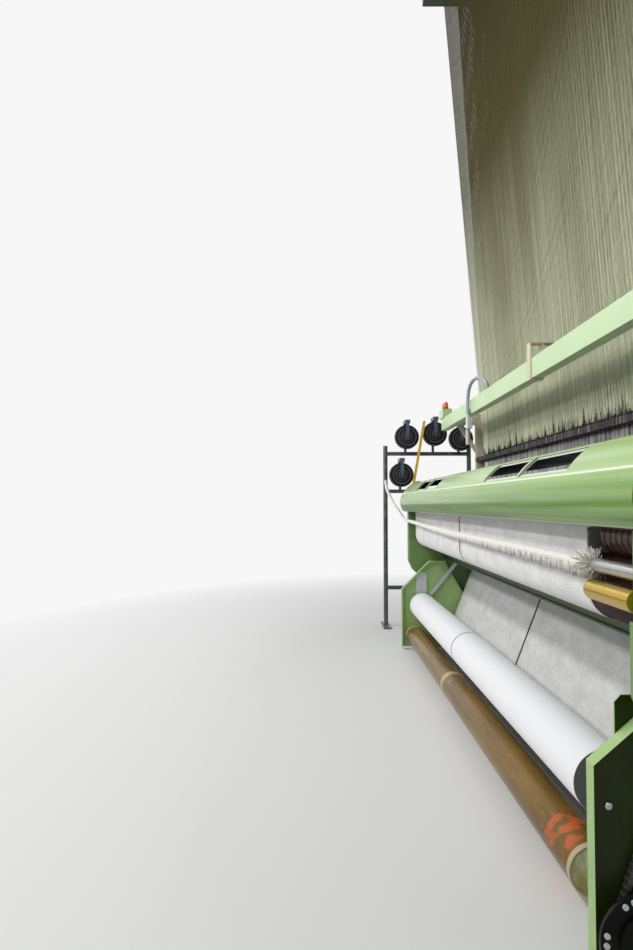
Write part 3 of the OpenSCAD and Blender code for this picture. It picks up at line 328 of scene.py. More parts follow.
def hub_finish():
    """Black cover whose screw heads stay bright: they stand proud of its face near its rim."""
    made = Finish("hub_black", 0.34, specular=0.1)
    cloud = made.ramp(made.noise((14.0, 14.0, 14.0), 3.0), 0.4, 0.7)
    screw = made.times(made.ramp(made.axis("X"), HUB_FACE, HUB_FACE + 0.0002),
                       made.ramp(made.from_axis(*FRONT_ROLLER), HUB_SCREWS_R - 0.001, HUB_SCREWS_R + 0.001))
    black = made.mix(cloud, linear(12, 12, 12), linear(26, 26, 24))
    return made.colour(made.mix(screw, black, linear(206, 208, 204)))


def drive_finish():
    """Dark red-brown ribbed casing with a grey guard plate at its left end."""
    made = Finish("drive_brown", 0.38, specular=0.3)
    cloud = made.ramp(made.noise((9.0, 9.0, 9.0), 4.0), 0.4, 0.7)
    base = made.mix(cloud, linear(84, 40, 28), linear(52, 28, 20))
    guard = made.ramp(made.axis("X"), DRIVE_GUARD + 0.0002, DRIVE_GUARD - 0.0002)
    return made.colour(made.mix(guard, base, linear(128, 132, 128)))


def flyer_finish():
    """Black flyers with grey rings round their own axes, found from the nearest of the four."""
    made = Finish("feeder_dark", 0.42, specular=0.3)
    away = None
    for y, z in FEEDERS:
        here = made.from_axis(y, z)
        away = here if away is None else made.maths("MINIMUM", away, here)
    rings = made.ramp(made.maths("SINE", made.times(away, 290.0)), 0.2, 0.8)
    return made.colour(made.mix(made.times(rings, 0.7), linear(34, 32, 36), linear(112, 106, 116)))


def comber_finish():
    """Dark board with pale upright streaks, where tied cords and lint show against it."""
    made = Finish("comber_dark", 0.6, specular=0.2)
    streak = made.ramp(made.noise((70.0, 2.0, 3.0), 3.0), 0.56, 0.66)
    return made.colour(made.mix(made.times(streak, 0.55), linear(36, 30, 38), linear(176, 170, 158)))


def shaft_finish():
    """Oily dark steel; the disc that closes the brown roller's right end is streaked cream and olive."""
    made = Finish("shaft_finish", 0.4, specular=0.4)
    cloud = made.ramp(made.noise((6.0, 6.0, 6.0), 3.0), 0.4, 0.6)
    streak = made.ramp(made.noise((5.0, 30.0, 8.0), 3.0), 0.4, 0.6)
    disc = made.between("X", *END_DISC, 0.0002)
    steel = made.mix(cloud, linear(96, 94, 88), linear(60, 58, 54))
    return made.colour(made.mix(disc, steel, made.mix(streak, linear(232, 226, 196), linear(176, 166, 108))))


def harness_finish():
    """Cords cream above the comber board, painted darker and olive-brown towards the head as painted
    shade, in fanned bands of painted shade.
    """
    made = Finish("harness_cord", 0.9, specular=0.1)
    tint = made.node("ShaderNodeAttribute", attribute_name="tint").outputs["Fac"]
    # Painted shade: the cords darken with height towards the head
    height = made.ramp(made.axis("Z"), 1.6, 3.1)
    band = made.ramp(made.noise((2.4, 1.0, 0.5), 4.0), 0.42, 0.62)
    line = made.ramp(made.noise((48.0, 4.0, 0.4), 3.0), 0.42, 0.62)
    base = made.mix(height, linear(240, 244, 212), linear(100, 96, 60))
    # Painted shade: fanned bands darken the cords more the higher they stand
    rise = made.ramp(made.axis("Z"), 1.3, 2.4)
    base = made.mix(made.times(made.times(band, rise), 0.5), base, linear(104, 92, 52))
    base = made.mix(made.times(line, 0.35), base, linear(104, 100, 70))
    return made.colour(made.mix(tint, base, linear(42, 38, 40)))


def brown_lacquer():
    """Glossy brown tube with a pale splice ring, an orange smear and pale ends, placed along X."""
    made = Finish("brown_lacquer", 0.22, specular=0.14)
    cloud = made.ramp(made.noise((2.5, 14.0, 14.0), 4.0), 0.35, 0.7)
    base = made.mix(cloud, linear(128, 98, 32), linear(96, 70, 20))
    scuff = made.ramp(made.noise((12.0, 30.0, 30.0), 4.0), 0.62, 0.7)
    base = made.mix(made.times(scuff, 0.25), base, linear(176, 148, 92))
    ring = made.between("X", *SPLICE_RING, 0.004)
    base = made.mix(made.times(ring, 0.75), base, linear(196, 176, 124))
    patch = made.ramp(made.noise((16.0, 16.0, 16.0), 3.0), 0.45, 0.55)
    smear = made.times(made.between("X", *ORANGE_SMEAR, 0.03), patch)
    base = made.mix(made.times(smear, 0.7), base, linear(208, 92, 40))
    near = made.between("X", *ROLLER_NEAR_END, 0.004)
    base = made.mix(made.times(near, 0.6), base, linear(214, 200, 160))
    far = made.between("X", *ROLLER_FAR_END, 0.01)
    base = made.mix(made.times(far, 0.6), base, linear(214, 200, 160))
    return made.colour(base)


def stand_finish():
    """Dark stand with its yellow leaning arm and its pale eyelet bar, told apart by their places."""
    made = Finish("stand_finish", 0.42)
    cloud = made.ramp(made.noise((9.0, 9.0, 9.0), 3.0), 0.4, 0.65)
    base = made.mix(cloud, linear(70, 76, 72), linear(110, 112, 104))
    arm = made.within(*GUIDE_ARM, 0.0005)
    base = made.mix(arm, base, linear(226, 188, 46))
    bar = made.within(*EYELET_BAR, 0.0005)
    base = made.mix(bar, base, linear(226, 226, 216))
    return made.colour(base)


def conduit_finish():
    """Blue-grey hose on a cream tube with a pale junction box, told apart by their places."""
    made = Finish("conduit_finish", 0.42)
    rings = made.noise((300.0, 300.0, 500.0), 1.0)
    base = made.mix(made.ramp(rings, 0.4, 0.6), linear(146, 162, 176), linear(166, 182, 194))
    tube = made.between("Z", *CREAM_TUBE, 0.0005)
    base = made.mix(tube, base, linear(212, 208, 186))
    case = made.within(*JUNCTION_BOX, 0.0005)
    base = made.mix(case, base, linear(216, 220, 214))
    return made.colour(base)


def lamp_finish():
    """Orange lenses on black feet, split by height."""
    made = Finish("lamp_finish", 0.2, coat=0.5)
    cloud = made.noise((30.0, 30.0, 30.0), 2.0)
    lens = made.mix(made.ramp(cloud, 0.3, 0.7), linear(232, 88, 34), linear(240, 128, 52))
    foot = made.between("Z", *LAMP_FEET, 0.0004)
    return made.colour(made.mix(foot, lens, linear(46, 44, 44)))


def roll_finish():
    """Wound cloth: fine rings round the axis on the ends, which are painted dark as painted shade, and
    along the tube a soft mottle.
    """
    made = Finish("roll_finish", 0.9, sheen=0.2)
    away = made.from_axis(*CLOTH_ROLL)
    layer = made.maths("SINE", made.times(away, 2200.0))
    inner = made.ramp(away, CLOTH_ROLL_R - 0.0005, CLOTH_ROLL_R - 0.0015)
    rings = made.times(made.ramp(layer, -0.2, 0.6), made.times(inner, 0.45))
    weave = made.ramp(made.noise((900.0, 900.0, 900.0), 2.0), 0.35, 0.7)
    shade = made.maths("ADD", rings, made.times(weave, 0.16))
    base = made.mix(shade, linear(244, 244, 246), linear(150, 152, 154))
    # Painted shade: the roll's end faces are painted dark grey
    end = made.times(inner, 0.85)
    base = made.mix(end, base, linear(62, 64, 68))
    made.relief(weave, 0.2, 0.0005)
    return made.colour(base)


special = {
    "plate_green": plate_finish(),
    "cover_green": cover_finish(),
    "hub_black": hub_finish(),
    "drive_brown": drive_finish(),
    "feeder_dark": flyer_finish(),
    "comber_dark": comber_finish(),
    "shaft_finish": shaft_finish(),
    "brown_lacquer": brown_lacquer(),
    "stand_finish": stand_finish(),
    "conduit_finish": conduit_finish(),
    "lamp_finish": lamp_finish(),
    "roll_finish": roll_finish(),
    "harness_cord": harness_finish(),
    "rope_yarn": yarn("rope_yarn", (250, 248, 242), (150, 142, 128), scale=(300.0, 300.0, 300.0)),
    "warp_yarn": yarn("warp_yarn", (226, 224, 212), (150, 146, 132), scale=(20.0, 200.0, 200.0)),
    "heddle_wire": yarn("heddle_wire", (240, 240, 234), (58, 52, 58)),
    "feeder_blue": painted("feeder_blue", (92, 108, 138), 0.4, grime=0.35),
    "cloth_grey": woven("cloth_grey", (252, 252, 250), (178, 178, 172), 0.9),
}
finishes = {**paints, **metals, **special}

node_finish = {
    "plate_green": ["stand_plate_left", "stand_plate_right"],
    "cover_green": ["breast_cover", "cover_nose"],
    "frame_green": ["side_frame_left", "side_frame_right", "rear_cross_tubes"],
    "tube_green": ["front_cross_tube"],
    "beam_mint": ["over_beam", "belt_guard", "control_cabinet"],
    "post_cream": ["beam_posts", "beam_strap"],
    "gantry_green": ["gantry"],
    "head_grey": ["jacquard_head"],
    "guide_grey": ["roll_guides", "press_lever_left", "press_lever_right"],
    "motor_green": ["main_motor"],
    "drive_brown": ["selvage_drive"],
    "hub_black": ["hub_cover"],
    "black_satin": ["cover_end_cap"],
    "shaft_finish": ["front_roller_shaft"],
    "comber_dark": ["comber_board"],
    "feeder_dark": ["feeder_flyer_1", "feeder_flyer_2", "feeder_flyer_3", "feeder_flyer_4"],
    "rim_pale": ["window_rims"],
    "rubber_red": ["take_up_roller"],
    "steel": ["press_roller", "upper_guide_roller", "lower_guide_roller", "breast_bar", "reed", "sley",
              "warp_beam", "back_rest", "selvage_roller_steel", "drop_wire_rack"],
    "oily_steel": ["chain_wheel_lower", "chain_wheel_upper", "take_up_chain",
                   "roll_core", "rapier_head_left", "rapier_head_right", "rapier_wheel_left",
                   "rapier_wheel_right"],
    "brass": ["selvage_roller_brass"],
    "brown_lacquer": ["front_roller"],
    "stand_finish": ["feeder_stand"],
    "conduit_finish": ["conduit"],
    "lamp_finish": ["signal_lamps"],
    "roll_finish": ["cloth_roll"],
    "feeder_blue": ["feeder_casings"],
    "cloth_grey": ["cloth"],
    "harness_cord": ["harness"],
    "heddle_wire": ["heddles"],
    "warp_yarn": ["warp_sheet"],
    "rope_yarn": ["selvage_rope"],
}
for finish_name, names in node_finish.items():
    for name in names:
        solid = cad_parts[name].data
        solid.materials.clear()
        solid.materials.append(finishes[finish_name].mat)

# Shapes


def piece(name, points, faces, finish, body="frame", tint=None, flat=None, smooth=False):
    """A mesh object from an (n, 3) array of points and an (m, 3 or 4) array of faces, riding on a body."""
    mesh = bpy.data.meshes.new(name)
    count, corners = faces.shape
    mesh.vertices.add(len(points))
    mesh.vertices.foreach_set("co", np.ascontiguousarray(points, dtype=np.float32).ravel())
    mesh.loops.add(count * corners)
    mesh.loops.foreach_set("vertex_index", np.ascontiguousarray(faces, dtype=np.int32).ravel())
    mesh.polygons.add(count)
    mesh.polygons.foreach_set("loop_start", np.arange(0, count * corners, corners, dtype=np.int32))
    mesh.update(calc_edges=True)
    if tint is not None:
        layer = mesh.attributes.new("tint", "FLOAT_COLOR", "POINT")
        rgba = np.repeat(np.asarray(tint, dtype=np.float32).reshape(-1, 1), 4, axis=1)
        rgba[:, 3] = 1.0
        layer.data.foreach_set("color", rgba.ravel())
    if flat is not None:
        layer = mesh.uv_layers.new(name="cloth")
        layer.data.foreach_set("uv", np.ascontiguousarray(flat[faces.ravel()], dtype=np.float32).ravel())
    if smooth:
        mesh.polygons.foreach_set("use_smooth", np.ones(count, dtype=bool))
    mesh.materials.append(finishes[finish].mat)
    made = bpy.data.objects.new(name, mesh)
    bpy.context.scene.collection.objects.link(made)
    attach(made, body)
    return made


def strands(paths, radius, sides=3, up=(0.0, 1.0, 0.0)):
    """Closed round bars along many paths at once.

    Each path is a row of points. A ring stands at every point, and its points are the centre plus the
    radius times cos(a) u + sin(a) v, where d is the path's direction, u is up x d and v is d x u. The
    sides join each ring to the next, and a fan closes each end.
    """
    paths = np.asarray(paths, dtype=float)
    bars, rings, _ = paths.shape
    d = np.gradient(paths, axis=1)
    d /= np.linalg.norm(d, axis=2, keepdims=True)
    u = np.cross(np.asarray(up, dtype=float), d)
    u /= np.linalg.norm(u, axis=2, keepdims=True)
    v = np.cross(d, u)
    a = np.arange(sides) * 2 * np.pi / sides
    radius = np.broadcast_to(radius, (bars, rings))[:, :, None, None]
    points = paths[:, :, None, :] + radius * (
        np.cos(a)[:, None] * u[:, :, None, :] + np.sin(a)[:, None] * v[:, :, None, :])
    k = np.arange(sides)
    here = (np.arange(rings - 1) * sides)[:, None] + k
    turn = (np.arange(rings - 1) * sides)[:, None] + (k + 1) % sides
    wall = np.concatenate([np.stack([here, turn, turn + sides], -1).reshape(-1, 3),
                           np.stack([here, turn + sides, here + sides], -1).reshape(-1, 3)])
    fan = np.stack([np.zeros(sides - 2, int), k[1:-1], k[2:]], -1)
    one = np.concatenate([wall, fan[:, ::-1], fan + (rings - 1) * sides])
    faces = (np.arange(bars) * rings * sides)[:, None, None] + one
    return points.reshape(-1, 3), faces.reshape(-1, 3)


def per_ring(values, sides):
    """The value of each ring, repeated for each of its points."""
    return np.repeat(np.asarray(values, dtype=float).reshape(-1), sides)


def blocks(low, high):
    """Boxes from arrays of low and high corners: the eight corners are every mix of the two."""
    low, high = np.asarray(low, dtype=float), np.asarray(high, dtype=float)
    pick = np.array([[0, 0, 0], [1, 0, 0], [1, 1, 0], [0, 1, 0], [0, 0, 1], [1, 0, 1], [1, 1, 1], [0, 1, 1]])
    points = low[:, None, :] * (1 - pick) + high[:, None, :] * pick
    one = np.array([[0, 3, 2, 1], [4, 5, 6, 7], [0, 1, 5, 4], [1, 2, 6, 5], [2, 3, 7, 6], [3, 0, 4, 7]])
    faces = (np.arange(len(low)) * 8)[:, None, None] + one
    return points.reshape(-1, 3), faces.reshape(-1, 4)


# Cloth

SPLIT_W = 0.005
CLOTH_LEFT, CLOTH_RIGHT = -1.76, 1.5
CLOTH_T = 0.0012
CLOTH_STEP = 0.015
FELL = -0.48
BAR_R = 0.03
TAKE_UP_R = 0.083
PRESS_GAP = 0.1168
PRESS_ANGLE = 30
# From a roller's surface to the middle of the cloth on it
CLOTH_MID = 0.0019
# The rollers' axes in side view, as (Y, Z)
breast = np.array([-0.728, 1.0])
take_up = np.array([-0.675, 0.79])
tilt = math.radians(PRESS_ANGLE)
press = take_up + PRESS_GAP * np.array([math.cos(tilt), math.sin(tilt)])
guide = np.array([-0.374, 0.631])
low_guide = np.array([-0.542, 0.201])
roll = np.array(CLOTH_ROLL)


def leaving(c0, r0, c1, r1):
    """Angle where the shared tangent leaves the first circle: the direction plus acos((r0 - r1) / gap)."""
    d = c1 - c0
    return math.degrees(math.atan2(d[1], d[0]) + math.acos((r0 - r1) / np.linalg.norm(d)))


def arc(centre, r, a0, a1, count):
    """Points of a circle from the angle a0 to a1, in degrees: centre + r (cos a, sin a)."""
    a = np.radians(np.linspace(a0, a1, count))
    return centre + r * np.stack([np.cos(a), np.sin(a)], -1)


def cloth_path():
    """The cloth's line in side view: arcs round the rollers, joined by their tangents, cut at every 15 mm."""
    bar, drum, wound = BAR_R + CLOTH_MID, TAKE_UP_R + CLOTH_MID, CLOTH_ROLL_R + CLOTH_MID
    over_press = leaving(press, BAR_R, guide, BAR_R)
    over_guide = leaving(guide, BAR_R, low_guide, BAR_R)
    under = leaving(low_guide, bar, roll, wound)
    line = np.concatenate([
        [[FELL, breast[1] + bar]],
        arc(breast, bar, 90, 180, 9),
        arc(take_up, drum, 180, 360 + PRESS_ANGLE, 30),
        arc(press, bar, 180 + PRESS_ANGLE, over_press, 12),
        arc(guide, bar, over_press, over_guide, 8),
        arc(low_guide, bar, over_guide, under - 360, 8),
        arc(roll, wound, under, under, 1)])
    far = np.concatenate([[0.0], np.cumsum(np.linalg.norm(np.diff(line, axis=0), axis=1))])
    stops = np.unique(np.concatenate([far, np.arange(0.0, far[-1], CLOTH_STEP)]))
    return np.stack([np.interp(stops, far, line[:, 0]), np.interp(stops, far, line[:, 1])], -1), stops


def cloth_strip(name, x0, x1):
    """One width of cloth: the side line carried along X, with its flat map in metres."""
    line, stops = cloth_path()
    across = np.linspace(x0, x1, 140)
    s, x = np.meshgrid(stops, across, indexing="ij")
    y = np.repeat(line[:, :1], len(across), axis=1)
    z = np.repeat(line[:, 1:], len(across), axis=1)
    points = np.stack([x, y, z], -1).reshape(-1, 3)
    rows, columns = s.shape
    i = np.arange(rows - 1)[:, None] * columns + np.arange(columns - 1)
    faces = np.stack([i, i + columns, i + columns + 1, i + 1], -1).reshape(-1, 4)
    flat = np.stack([x.ravel(), s.ravel()], -1)
    made = piece(name, points, faces, "cloth_grey", flat=flat, smooth=True)
    thick = made.modifiers.new("thickness", "SOLIDIFY")
    thick.thickness = CLOTH_T
    thick.offset = 0.0
    return made


left_cloth = cloth_strip("left_cloth", CLOTH_LEFT, SPLIT - SPLIT_W / 2)
right_cloth = cloth_strip("right_cloth", SPLIT + SPLIT_W / 2, CLOTH_RIGHT)
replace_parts(left_cloth, "cloth")

# Harness, heddles and warp

FIRST_CORD, LAST_CORD = -1.70, 1.49
ROWS = 12
BOARD_BOTTOM = 1.2996
BOARD_TOP = 1.328
HEAD_BOTTOM = 4.7995
FRONT_ROW = -0.291
ROWS_DEPTH = 0.26
HEAD_FRONT_ROW = -0.571
HEAD_DEPTH = 1.13
HEDDLE_FOOT = 0.42
BUNCH_STEP = 0.032
BUNCH_PULL = 0.0032
SPIKE_STEP = 0.135
SPIKE_START = -2.7
HARNESS_CORD_R = 0.00065
HEDDLE_WIRE_R = 0.0008
WARP_YARN_R = 0.0006
# The warp's (Y, Z) at the cloth's edge and where it meets the solid warp sheet
CLOTH_EDGE = (-0.481, 1.0318)
SHED_BACK = (0.01, 1.09)
# The drop wires' two rows, their ends along X and their height
COMBS_Y = (0.1585, 0.2085)
DROP_WIRES_X = (-1.72, 1.47)
DROP_WIRES_Z = (1.105, 1.215)


def in_rows(columns):
    """The X of every cord, and its row as a share of the depth: 0 in front and 1 at the back."""
    x = np.linspace(FIRST_CORD, LAST_CORD, columns)
    row = np.arange(ROWS) / (ROWS - 1)
    xx, rr = np.meshgrid(x, row, indexing="ij")
    return xx.ravel(), rr.ravel()


def harness_cords():
    """Cords from the comber board up to the head: each stands at its row and place below, leans evenly
    to its row above, and is dark for a first stretch that peaks at even steps. The columns are drawn
    together in bunches, most in front: x + 3.2 mm times (1 - row) times sin(2 pi x / 32 mm)."""
    xx, rr = in_rows(800)
    pull = BUNCH_PULL * (1 - rr) * np.sin(2 * np.pi * xx / BUNCH_STEP)
    xx = xx + pull + dice.uniform(-0.0006, 0.0006, xx.size)
    y0, y1 = FRONT_ROW + ROWS_DEPTH * rr, HEAD_FRONT_ROW + HEAD_DEPTH * rr
    z0, z1 = BOARD_TOP + 0.0005, HEAD_BOTTOM
    spike = (1 - np.abs(2 * np.mod(xx / SPIKE_STEP, 1.0) - 1)) ** 5
    tall = dice.uniform(0.5, 1.2, 40)[np.floor((xx - SPIKE_START) / SPIKE_STEP).astype(int)]
    dark = 0.012 + 0.11 * spike * tall * dice.uniform(0.3, 1.0, xx.size) + 0.05 * dice.random(xx.size) ** 5
    stops = np.stack([np.zeros(xx.size), dark, dark + 0.004, np.full(xx.size, z1 - z0)], -1)
    part = stops / (z1 - z0)
    paths = np.stack([np.broadcast_to(xx[:, None], stops.shape), y0[:, None] + (y1 - y0)[:, None] * part,
                      z0 + stops], -1)
    # Painted shade: a random tone per cord, darker for rows further back and darker again at the head end
    tone_and_row_shade = dice.uniform(0.0, 0.16, xx.size) + 0.22 * rr
    tint = np.stack([np.ones(xx.size), np.ones(xx.size), tone_and_row_shade, tone_and_row_shade + 0.15], -1)
    points, faces = strands(paths, HARNESS_CORD_R)
    return piece("harness_cords", points, faces, "harness_cord", tint=per_ring(tint, 3))


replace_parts(harness_cords(), "harness")


def heddle_wires():
    """Upright wires from the lower rail to the comber board, in the rows of the cords, and the rail."""
    xx, rr = in_rows(420)
    xx = xx + dice.uniform(-0.001, 0.001, xx.size)
    y = FRONT_ROW + ROWS_DEPTH * rr
    stops = np.broadcast_to(np.array([HEDDLE_FOOT, BOARD_BOTTOM]), (xx.size, 2))
    paths = np.stack([np.broadcast_to(xx[:, None], stops.shape), np.broadcast_to(y[:, None], stops.shape),
                      stops], -1)
    points, faces = strands(paths, HEDDLE_WIRE_R)
    wave = 0.35 + 0.35 * np.sin(xx * 97.0) * np.sin(xx * 41.0)
    tint = np.clip(wave + dice.normal(0.0, 0.2, xx.size), 0.0, 0.95)
    wires = piece("heddle_wires", points, faces, "heddle_wire", tint=per_ring(np.stack([tint, tint], -1), 3))
    low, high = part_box("heddles")
    points, faces = blocks([[low[0], FRONT_ROW - 0.02, HEDDLE_FOOT - 0.05]], [[high[0], -0.011, HEDDLE_FOOT]])
    piece("heddle_rail", points, faces, "steel")
    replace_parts(wires, "heddles")


heddle_wires()


def warp_yarns():
    """Yarns from the cloth's edge through the reed and the heddles to the warp, with a bend at the eye."""
    columns = 900
    x = np.concatenate([np.linspace(FIRST_CORD, SPLIT - 0.008, columns // 2),
                        np.linspace(SPLIT + 0.008, LAST_CORD, columns // 2)])
    eye = FRONT_ROW + ROWS_DEPTH * dice.integers(0, ROWS, x.size) / (ROWS - 1)
    lift = dice.uniform(1.02, 1.045, x.size)
    y = np.stack([np.full(x.size, CLOTH_EDGE[0]), eye, np.full(x.size, SHED_BACK[0])], -1)
    z = np.stack([np.full(x.size, CLOTH_EDGE[1]), lift, np.full(x.size, SHED_BACK[1])], -1)
    paths = np.stack([np.broadcast_to(x[:, None], y.shape), y, z], -1)
    points, faces = strands(paths, WARP_YARN_R, up=(0.0, 0.0, 1.0))
    tint = dice.uniform(0.0, 0.3, x.size)
    piece("warp_yarns", points, faces, "warp_yarn", tint=per_ring(np.stack([tint] * 3, -1), 3))


warp_yarns()


def drop_wires():
    """Thin upright strips in two rows, hanging on the warp through the combs' slots."""
    count = 640
    x = np.tile(np.linspace(*DROP_WIRES_X, count), 2)
    y = np.repeat(COMBS_Y, count)
    drop = dice.uniform(-0.004, 0.004, x.size)
    low = np.stack([x - 0.00015, y - 0.005, DROP_WIRES_Z[0] + drop], -1)
    high = np.stack([x + 0.00015, y + 0.005, DROP_WIRES_Z[1] + drop], -1)
    points, faces = blocks(low, high)
    piece("drop_wires", points, faces, "steel")


drop_wires()

# Selvage rope

ROPE = np.array([
    [-2697, -880, 1190], [-2620, -884, 1150], [-2520, -884, 1112], [-2420, -880, 1075], [-2300, -872, 1030],
    [-2180, -860, 985], [-2080, -842, 948], [-1990, -834, 915], [-1900, -829, 898], [-1825, -826, 888],
    [-1750, -806, 882], [-1660, -784, 876], [-1560, -776, 872], [-1400, -775, 868], [-1150, -775, 863],
    [-850, -774, 860], [-550, -774, 858], [-250, -774, 857], [50, -774, 857], [350, -774, 857],
    [650, -774, 857], [950, -774, 857], [1200, -775, 857], [1450, -776, 856], [1604, -776, 855]]) / 1000.0
STRAND_OFF = 0.0058
STRAND_R = 0.0062
LAY = 0.045
FRINGE_R = 0.0016
# The fringe stays on the weaver's side of this Y, clear of the cloth
FRINGE_LIMIT = -0.7665


def along(points, count):
    """Points at even steps of length along a line of points."""
    far = np.concatenate([[0.0], np.cumsum(np.linalg.norm(np.diff(points, axis=0), axis=1))])
    stops = np.linspace(0.0, far[-1], count)
    return np.stack([np.interp(stops, far, points[:, k]) for k in range(3)], -1), stops


def twisted_rope():
    """Three strands wound round the rope's line: each is the line plus 5.8 mm times cos and sin of
    2 pi (length / 45 mm) plus a third of a turn."""
    line, stops = along(ROPE, 1000)
    d = np.gradient(line, axis=0)
    d /= np.linalg.norm(d, axis=1, keepdims=True)
    u = np.cross([0.0, 0.0, 1.0], d)
    u /= np.linalg.norm(u, axis=1, keepdims=True)
    v = np.cross(d, u)
    turn = 2 * np.pi * stops[None, :] / LAY + np.array([0, 1, 2])[:, None] * 2 * np.pi / 3
    paths = line + STRAND_OFF * (np.cos(turn)[..., None] * u + np.sin(turn)[..., None] * v)
    fray = STRAND_R * (1 + 0.12 * np.sin(stops * 61.0) + 0.08 * np.sin(stops * 173.0))
    points, faces = strands(paths, fray, 7, up=(0.0, 0.0, 1.0))
    return piece("twisted_rope", points, faces, "rope_yarn", tint=np.full(len(points), 0.05), smooth=True)


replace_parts(twisted_rope(), "selvage_rope")


def rope_fringe():
    """Cut weft ends hanging off the rope: they leave it sideways and curl down, longer towards the drive,
    where the last twentieth of them stick out all round as a tuft of light to dark strands."""
    count = 7000
    x = dice.uniform(-1.72, 1.58, count)
    tuft = np.arange(count) >= 0.95 * count
    x[tuft] = dice.uniform(1.545, 1.6, tuft.sum())
    size = 0.012 + 0.024 * (x + 1.76) / 3.26
    size = size * dice.uniform(0.35, 1.2, count)
    y = np.interp(x, ROPE[:, 0], ROPE[:, 1])
    z = np.interp(x, ROPE[:, 0], ROPE[:, 2])
    part = np.linspace(0.0, 1.0, 4)[None, :]
    slant = dice.normal(0.0, 0.35, count)[:, None]
    curl = dice.uniform(-0.25, 0.45, count)[:, None]
    px = x[:, None] + size[:, None] * slant * part
    py = y[:, None] - 0.005 - size[:, None] * curl * part * (1.3 - part)
    pz = z[:, None] + 0.002 - size[:, None] * part ** 1.2
    turn = dice.uniform(0.0, 2 * np.pi, count)[:, None]
    round_y = y[:, None] + size[:, None] * np.cos(turn) * part
    round_z = z[:, None] + size[:, None] * np.sin(turn) * part
    py, pz = np.where(tuft[:, None], round_y, py), np.where(tuft[:, None], round_z, pz)
    paths = np.stack([px, np.minimum(py, FRINGE_LIMIT), pz], -1)
    points, faces = strands(paths, FRINGE_R)
    # Painted shade: each strand darkens towards its hanging end, and one in twenty is dark as shadow beneath
    # the rope
    shade = np.where(dice.random(count) < 0.05, 0.8, dice.uniform(0.0, 0.06, count))
    shade = np.where(tuft, dice.uniform(0.2, 0.9, count), shade)
    tint = per_ring(shade[:, None] * np.linspace(0.1, 1.0, 4)[None, :], 3)
    piece("rope_fringe", points, faces, "rope_yarn", tint=tint)


rope_fringe()

# Small fittings

BOLT_R = 0.009
BOLT_H = 0.006
RIGHT_PLATE = 1.789
LEFT_PLATE = -1.781
PLATE_BOLTS = ((-0.83, 0.06), (-0.83, 0.36), (-0.45, 0.06))
STRAP_BOLTS = ((0.115, -0.486, 1.711), (0.115, -0.412, 1.711))


def bolt_heads(name, centres, axis, finish):
    """Six-sided heads of bolts: rings of radius r, r, and 0.8 r at 0, 0.85 h and h along the axis."""
    centres = np.asarray(centres, dtype=float)
    steps = np.array([0.0, 0.85 * BOLT_H, BOLT_H])
    paths = centres[:, None, :] + steps[None, :, None] * np.asarray(axis, dtype=float)
    up = (0.0, 0.0, 1.0) if abs(axis[2]) < 0.5 else (0.0, 1.0, 0.0)
    points, faces = strands(paths, np.array([BOLT_R, BOLT_R, 0.8 * BOLT_R]), 6, up=up)
    piece(name, points, faces, finish)


for side, face in (("right", RIGHT_PLATE), ("left", LEFT_PLATE)):
    bolt_heads(f"plate_bolts_{side}", [[face, y, z] for y, z in PLATE_BOLTS], (1, 0, 0), "steel")
bolt_heads("strap_bolts", STRAP_BOLTS, (0, 0, 1), "brass")

# Floor, lights and camera

BACKDROP = (0.93, 0.93, 0.93, 1.0)
HALF_FLOOR = 30
FADE_STRETCH = 1.6
FADE_START, FADE_END = 1.9, 4.6
AMBIENT = 0.36
CAMERA_AT = (3.385, -1.45, 1.0)
CAMERA_RISE = 2.25


def floor_finish():
    """Pale floor that the camera sees fade into the backdrop's own white away from the loom, by the
    distance sqrt((x / 1.6)^2 + y^2), so that the shadow near the loom stays and no horizon shows."""
    made = Finish("floor_pale", 0.9)
    made.shader.inputs["Base Color"].default_value = (*linear(226, 226, 224), 1.0)
    x, y = made.times(made.axis("X"), 1 / FADE_STRETCH), made.axis("Y")
    away = made.maths("SQRT", made.maths("ADD", made.times(x, x), made.times(y, y)))
    seen = made.node("ShaderNodeLightPath").outputs["Is Camera Ray"]
    white = made.node("ShaderNodeEmission")
    white.inputs["Color"].default_value = BACKDROP
    joined = made.node("ShaderNodeMixShader")
    made.link(made.times(seen, made.ramp(away, FADE_START, FADE_END)), joined.inputs[0])
    made.link(made.shader.outputs["BSDF"], joined.inputs[1])
    made.link(white.outputs["Emission"], joined.inputs[2])
    made.link(joined.outputs["Shader"], made.tree.nodes["Material Output"].inputs["Surface"])
    return made.mat


corners = [(-HALF_FLOOR, -HALF_FLOOR, 0), (HALF_FLOOR, -HALF_FLOOR, 0), (HALF_FLOOR, HALF_FLOOR, 0),
           (-HALF_FLOOR, HALF_FLOOR, 0)]
floor_mesh = bpy.data.meshes.new("floor")
floor_mesh.from_pydata(corners, [], [(0, 1, 2, 3)])
floor_mesh.materials.append(floor_finish())
floor = bpy.data.objects.new("floor", floor_mesh)
bpy.context.scene.collection.objects.link(floor)


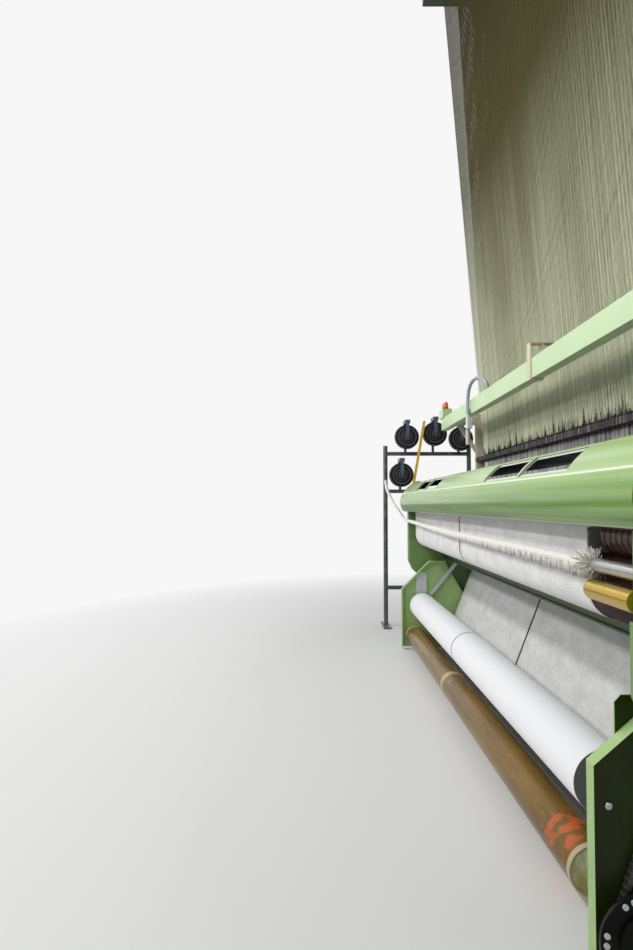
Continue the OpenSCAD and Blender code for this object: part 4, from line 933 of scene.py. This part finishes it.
def strip_lamp(name, at, target, size_x, size_y, watts):
    """A soft rectangular lamp that looks at its target."""
    data = bpy.data.lights.new(name, "AREA")
    data.shape = "RECTANGLE"
    data.size, data.size_y = size_x, size_y
    data.energy = watts
    lamp = bpy.data.objects.new(name, data)
    bpy.context.scene.collection.objects.link(lamp)
    way = np.asarray(target, dtype=float) - np.asarray(at, dtype=float)
    way /= np.linalg.norm(way)
    side = np.cross(way, [0.0, 0.0, 1.0])
    side /= np.linalg.norm(side)
    up = np.cross(side, way)
    lamp.matrix_world = Matrix([[side[k], up[k], -way[k], at[k]] for k in range(3)] + [[0, 0, 0, 1]])


strip_lamp("aisle_lamp", (0.0, -3.0, 3.3), (0.0, -0.6, 0.8), 8.0, 0.3, 85)
strip_lamp("far_lamp", (0.0, -5.0, 3.6), (0.0, -0.6, 1.2), 8.0, 0.35, 110)


def pale_room(level):
    """Plain world light at a level, and the backdrop's white where the camera, gloss or glass sees it."""
    world = bpy.data.worlds.new("pale_room")
    bpy.context.scene.world = world
    world.use_nodes = True
    nodes, links = world.node_tree.nodes, world.node_tree.links
    ambient = nodes["Background"]
    ambient.inputs["Color"].default_value = (0.95, 0.97, 1.0, 1.0)
    ambient.inputs["Strength"].default_value = level
    seen = nodes.new("ShaderNodeBackground")
    seen.inputs["Color"].default_value = BACKDROP
    seen.inputs["Strength"].default_value = 1.0
    path = nodes.new("ShaderNodeLightPath")
    any_ray = path.outputs["Is Camera Ray"]
    for ray in ("Is Glossy Ray", "Is Transmission Ray"):
        either = nodes.new("ShaderNodeMath")
        either.operation = "MAXIMUM"
        links.new(any_ray, either.inputs[0])
        links.new(path.outputs[ray], either.inputs[1])
        any_ray = either.outputs["Value"]
    blend = nodes.new("ShaderNodeMixShader")
    links.new(any_ray, blend.inputs[0])
    links.new(ambient.outputs["Background"], blend.inputs[1])
    links.new(seen.outputs["Background"], blend.inputs[2])
    links.new(blend.outputs["Shader"], nodes["World Output"].inputs["Surface"])


pale_room(AMBIENT)

scene = bpy.context.scene
scene.view_settings.view_transform = "Standard"
camera_data = bpy.data.cameras.new("aisle_camera")
camera_data.lens = 28.0
camera_data.sensor_width = 36.0
camera = bpy.data.objects.new("aisle_camera", camera_data)
scene.collection.objects.link(camera)
camera.location = CAMERA_AT
camera.rotation_euler = (math.radians(90.0 + CAMERA_RISE), 0.0, math.radians(90.0))
scene.camera = camera
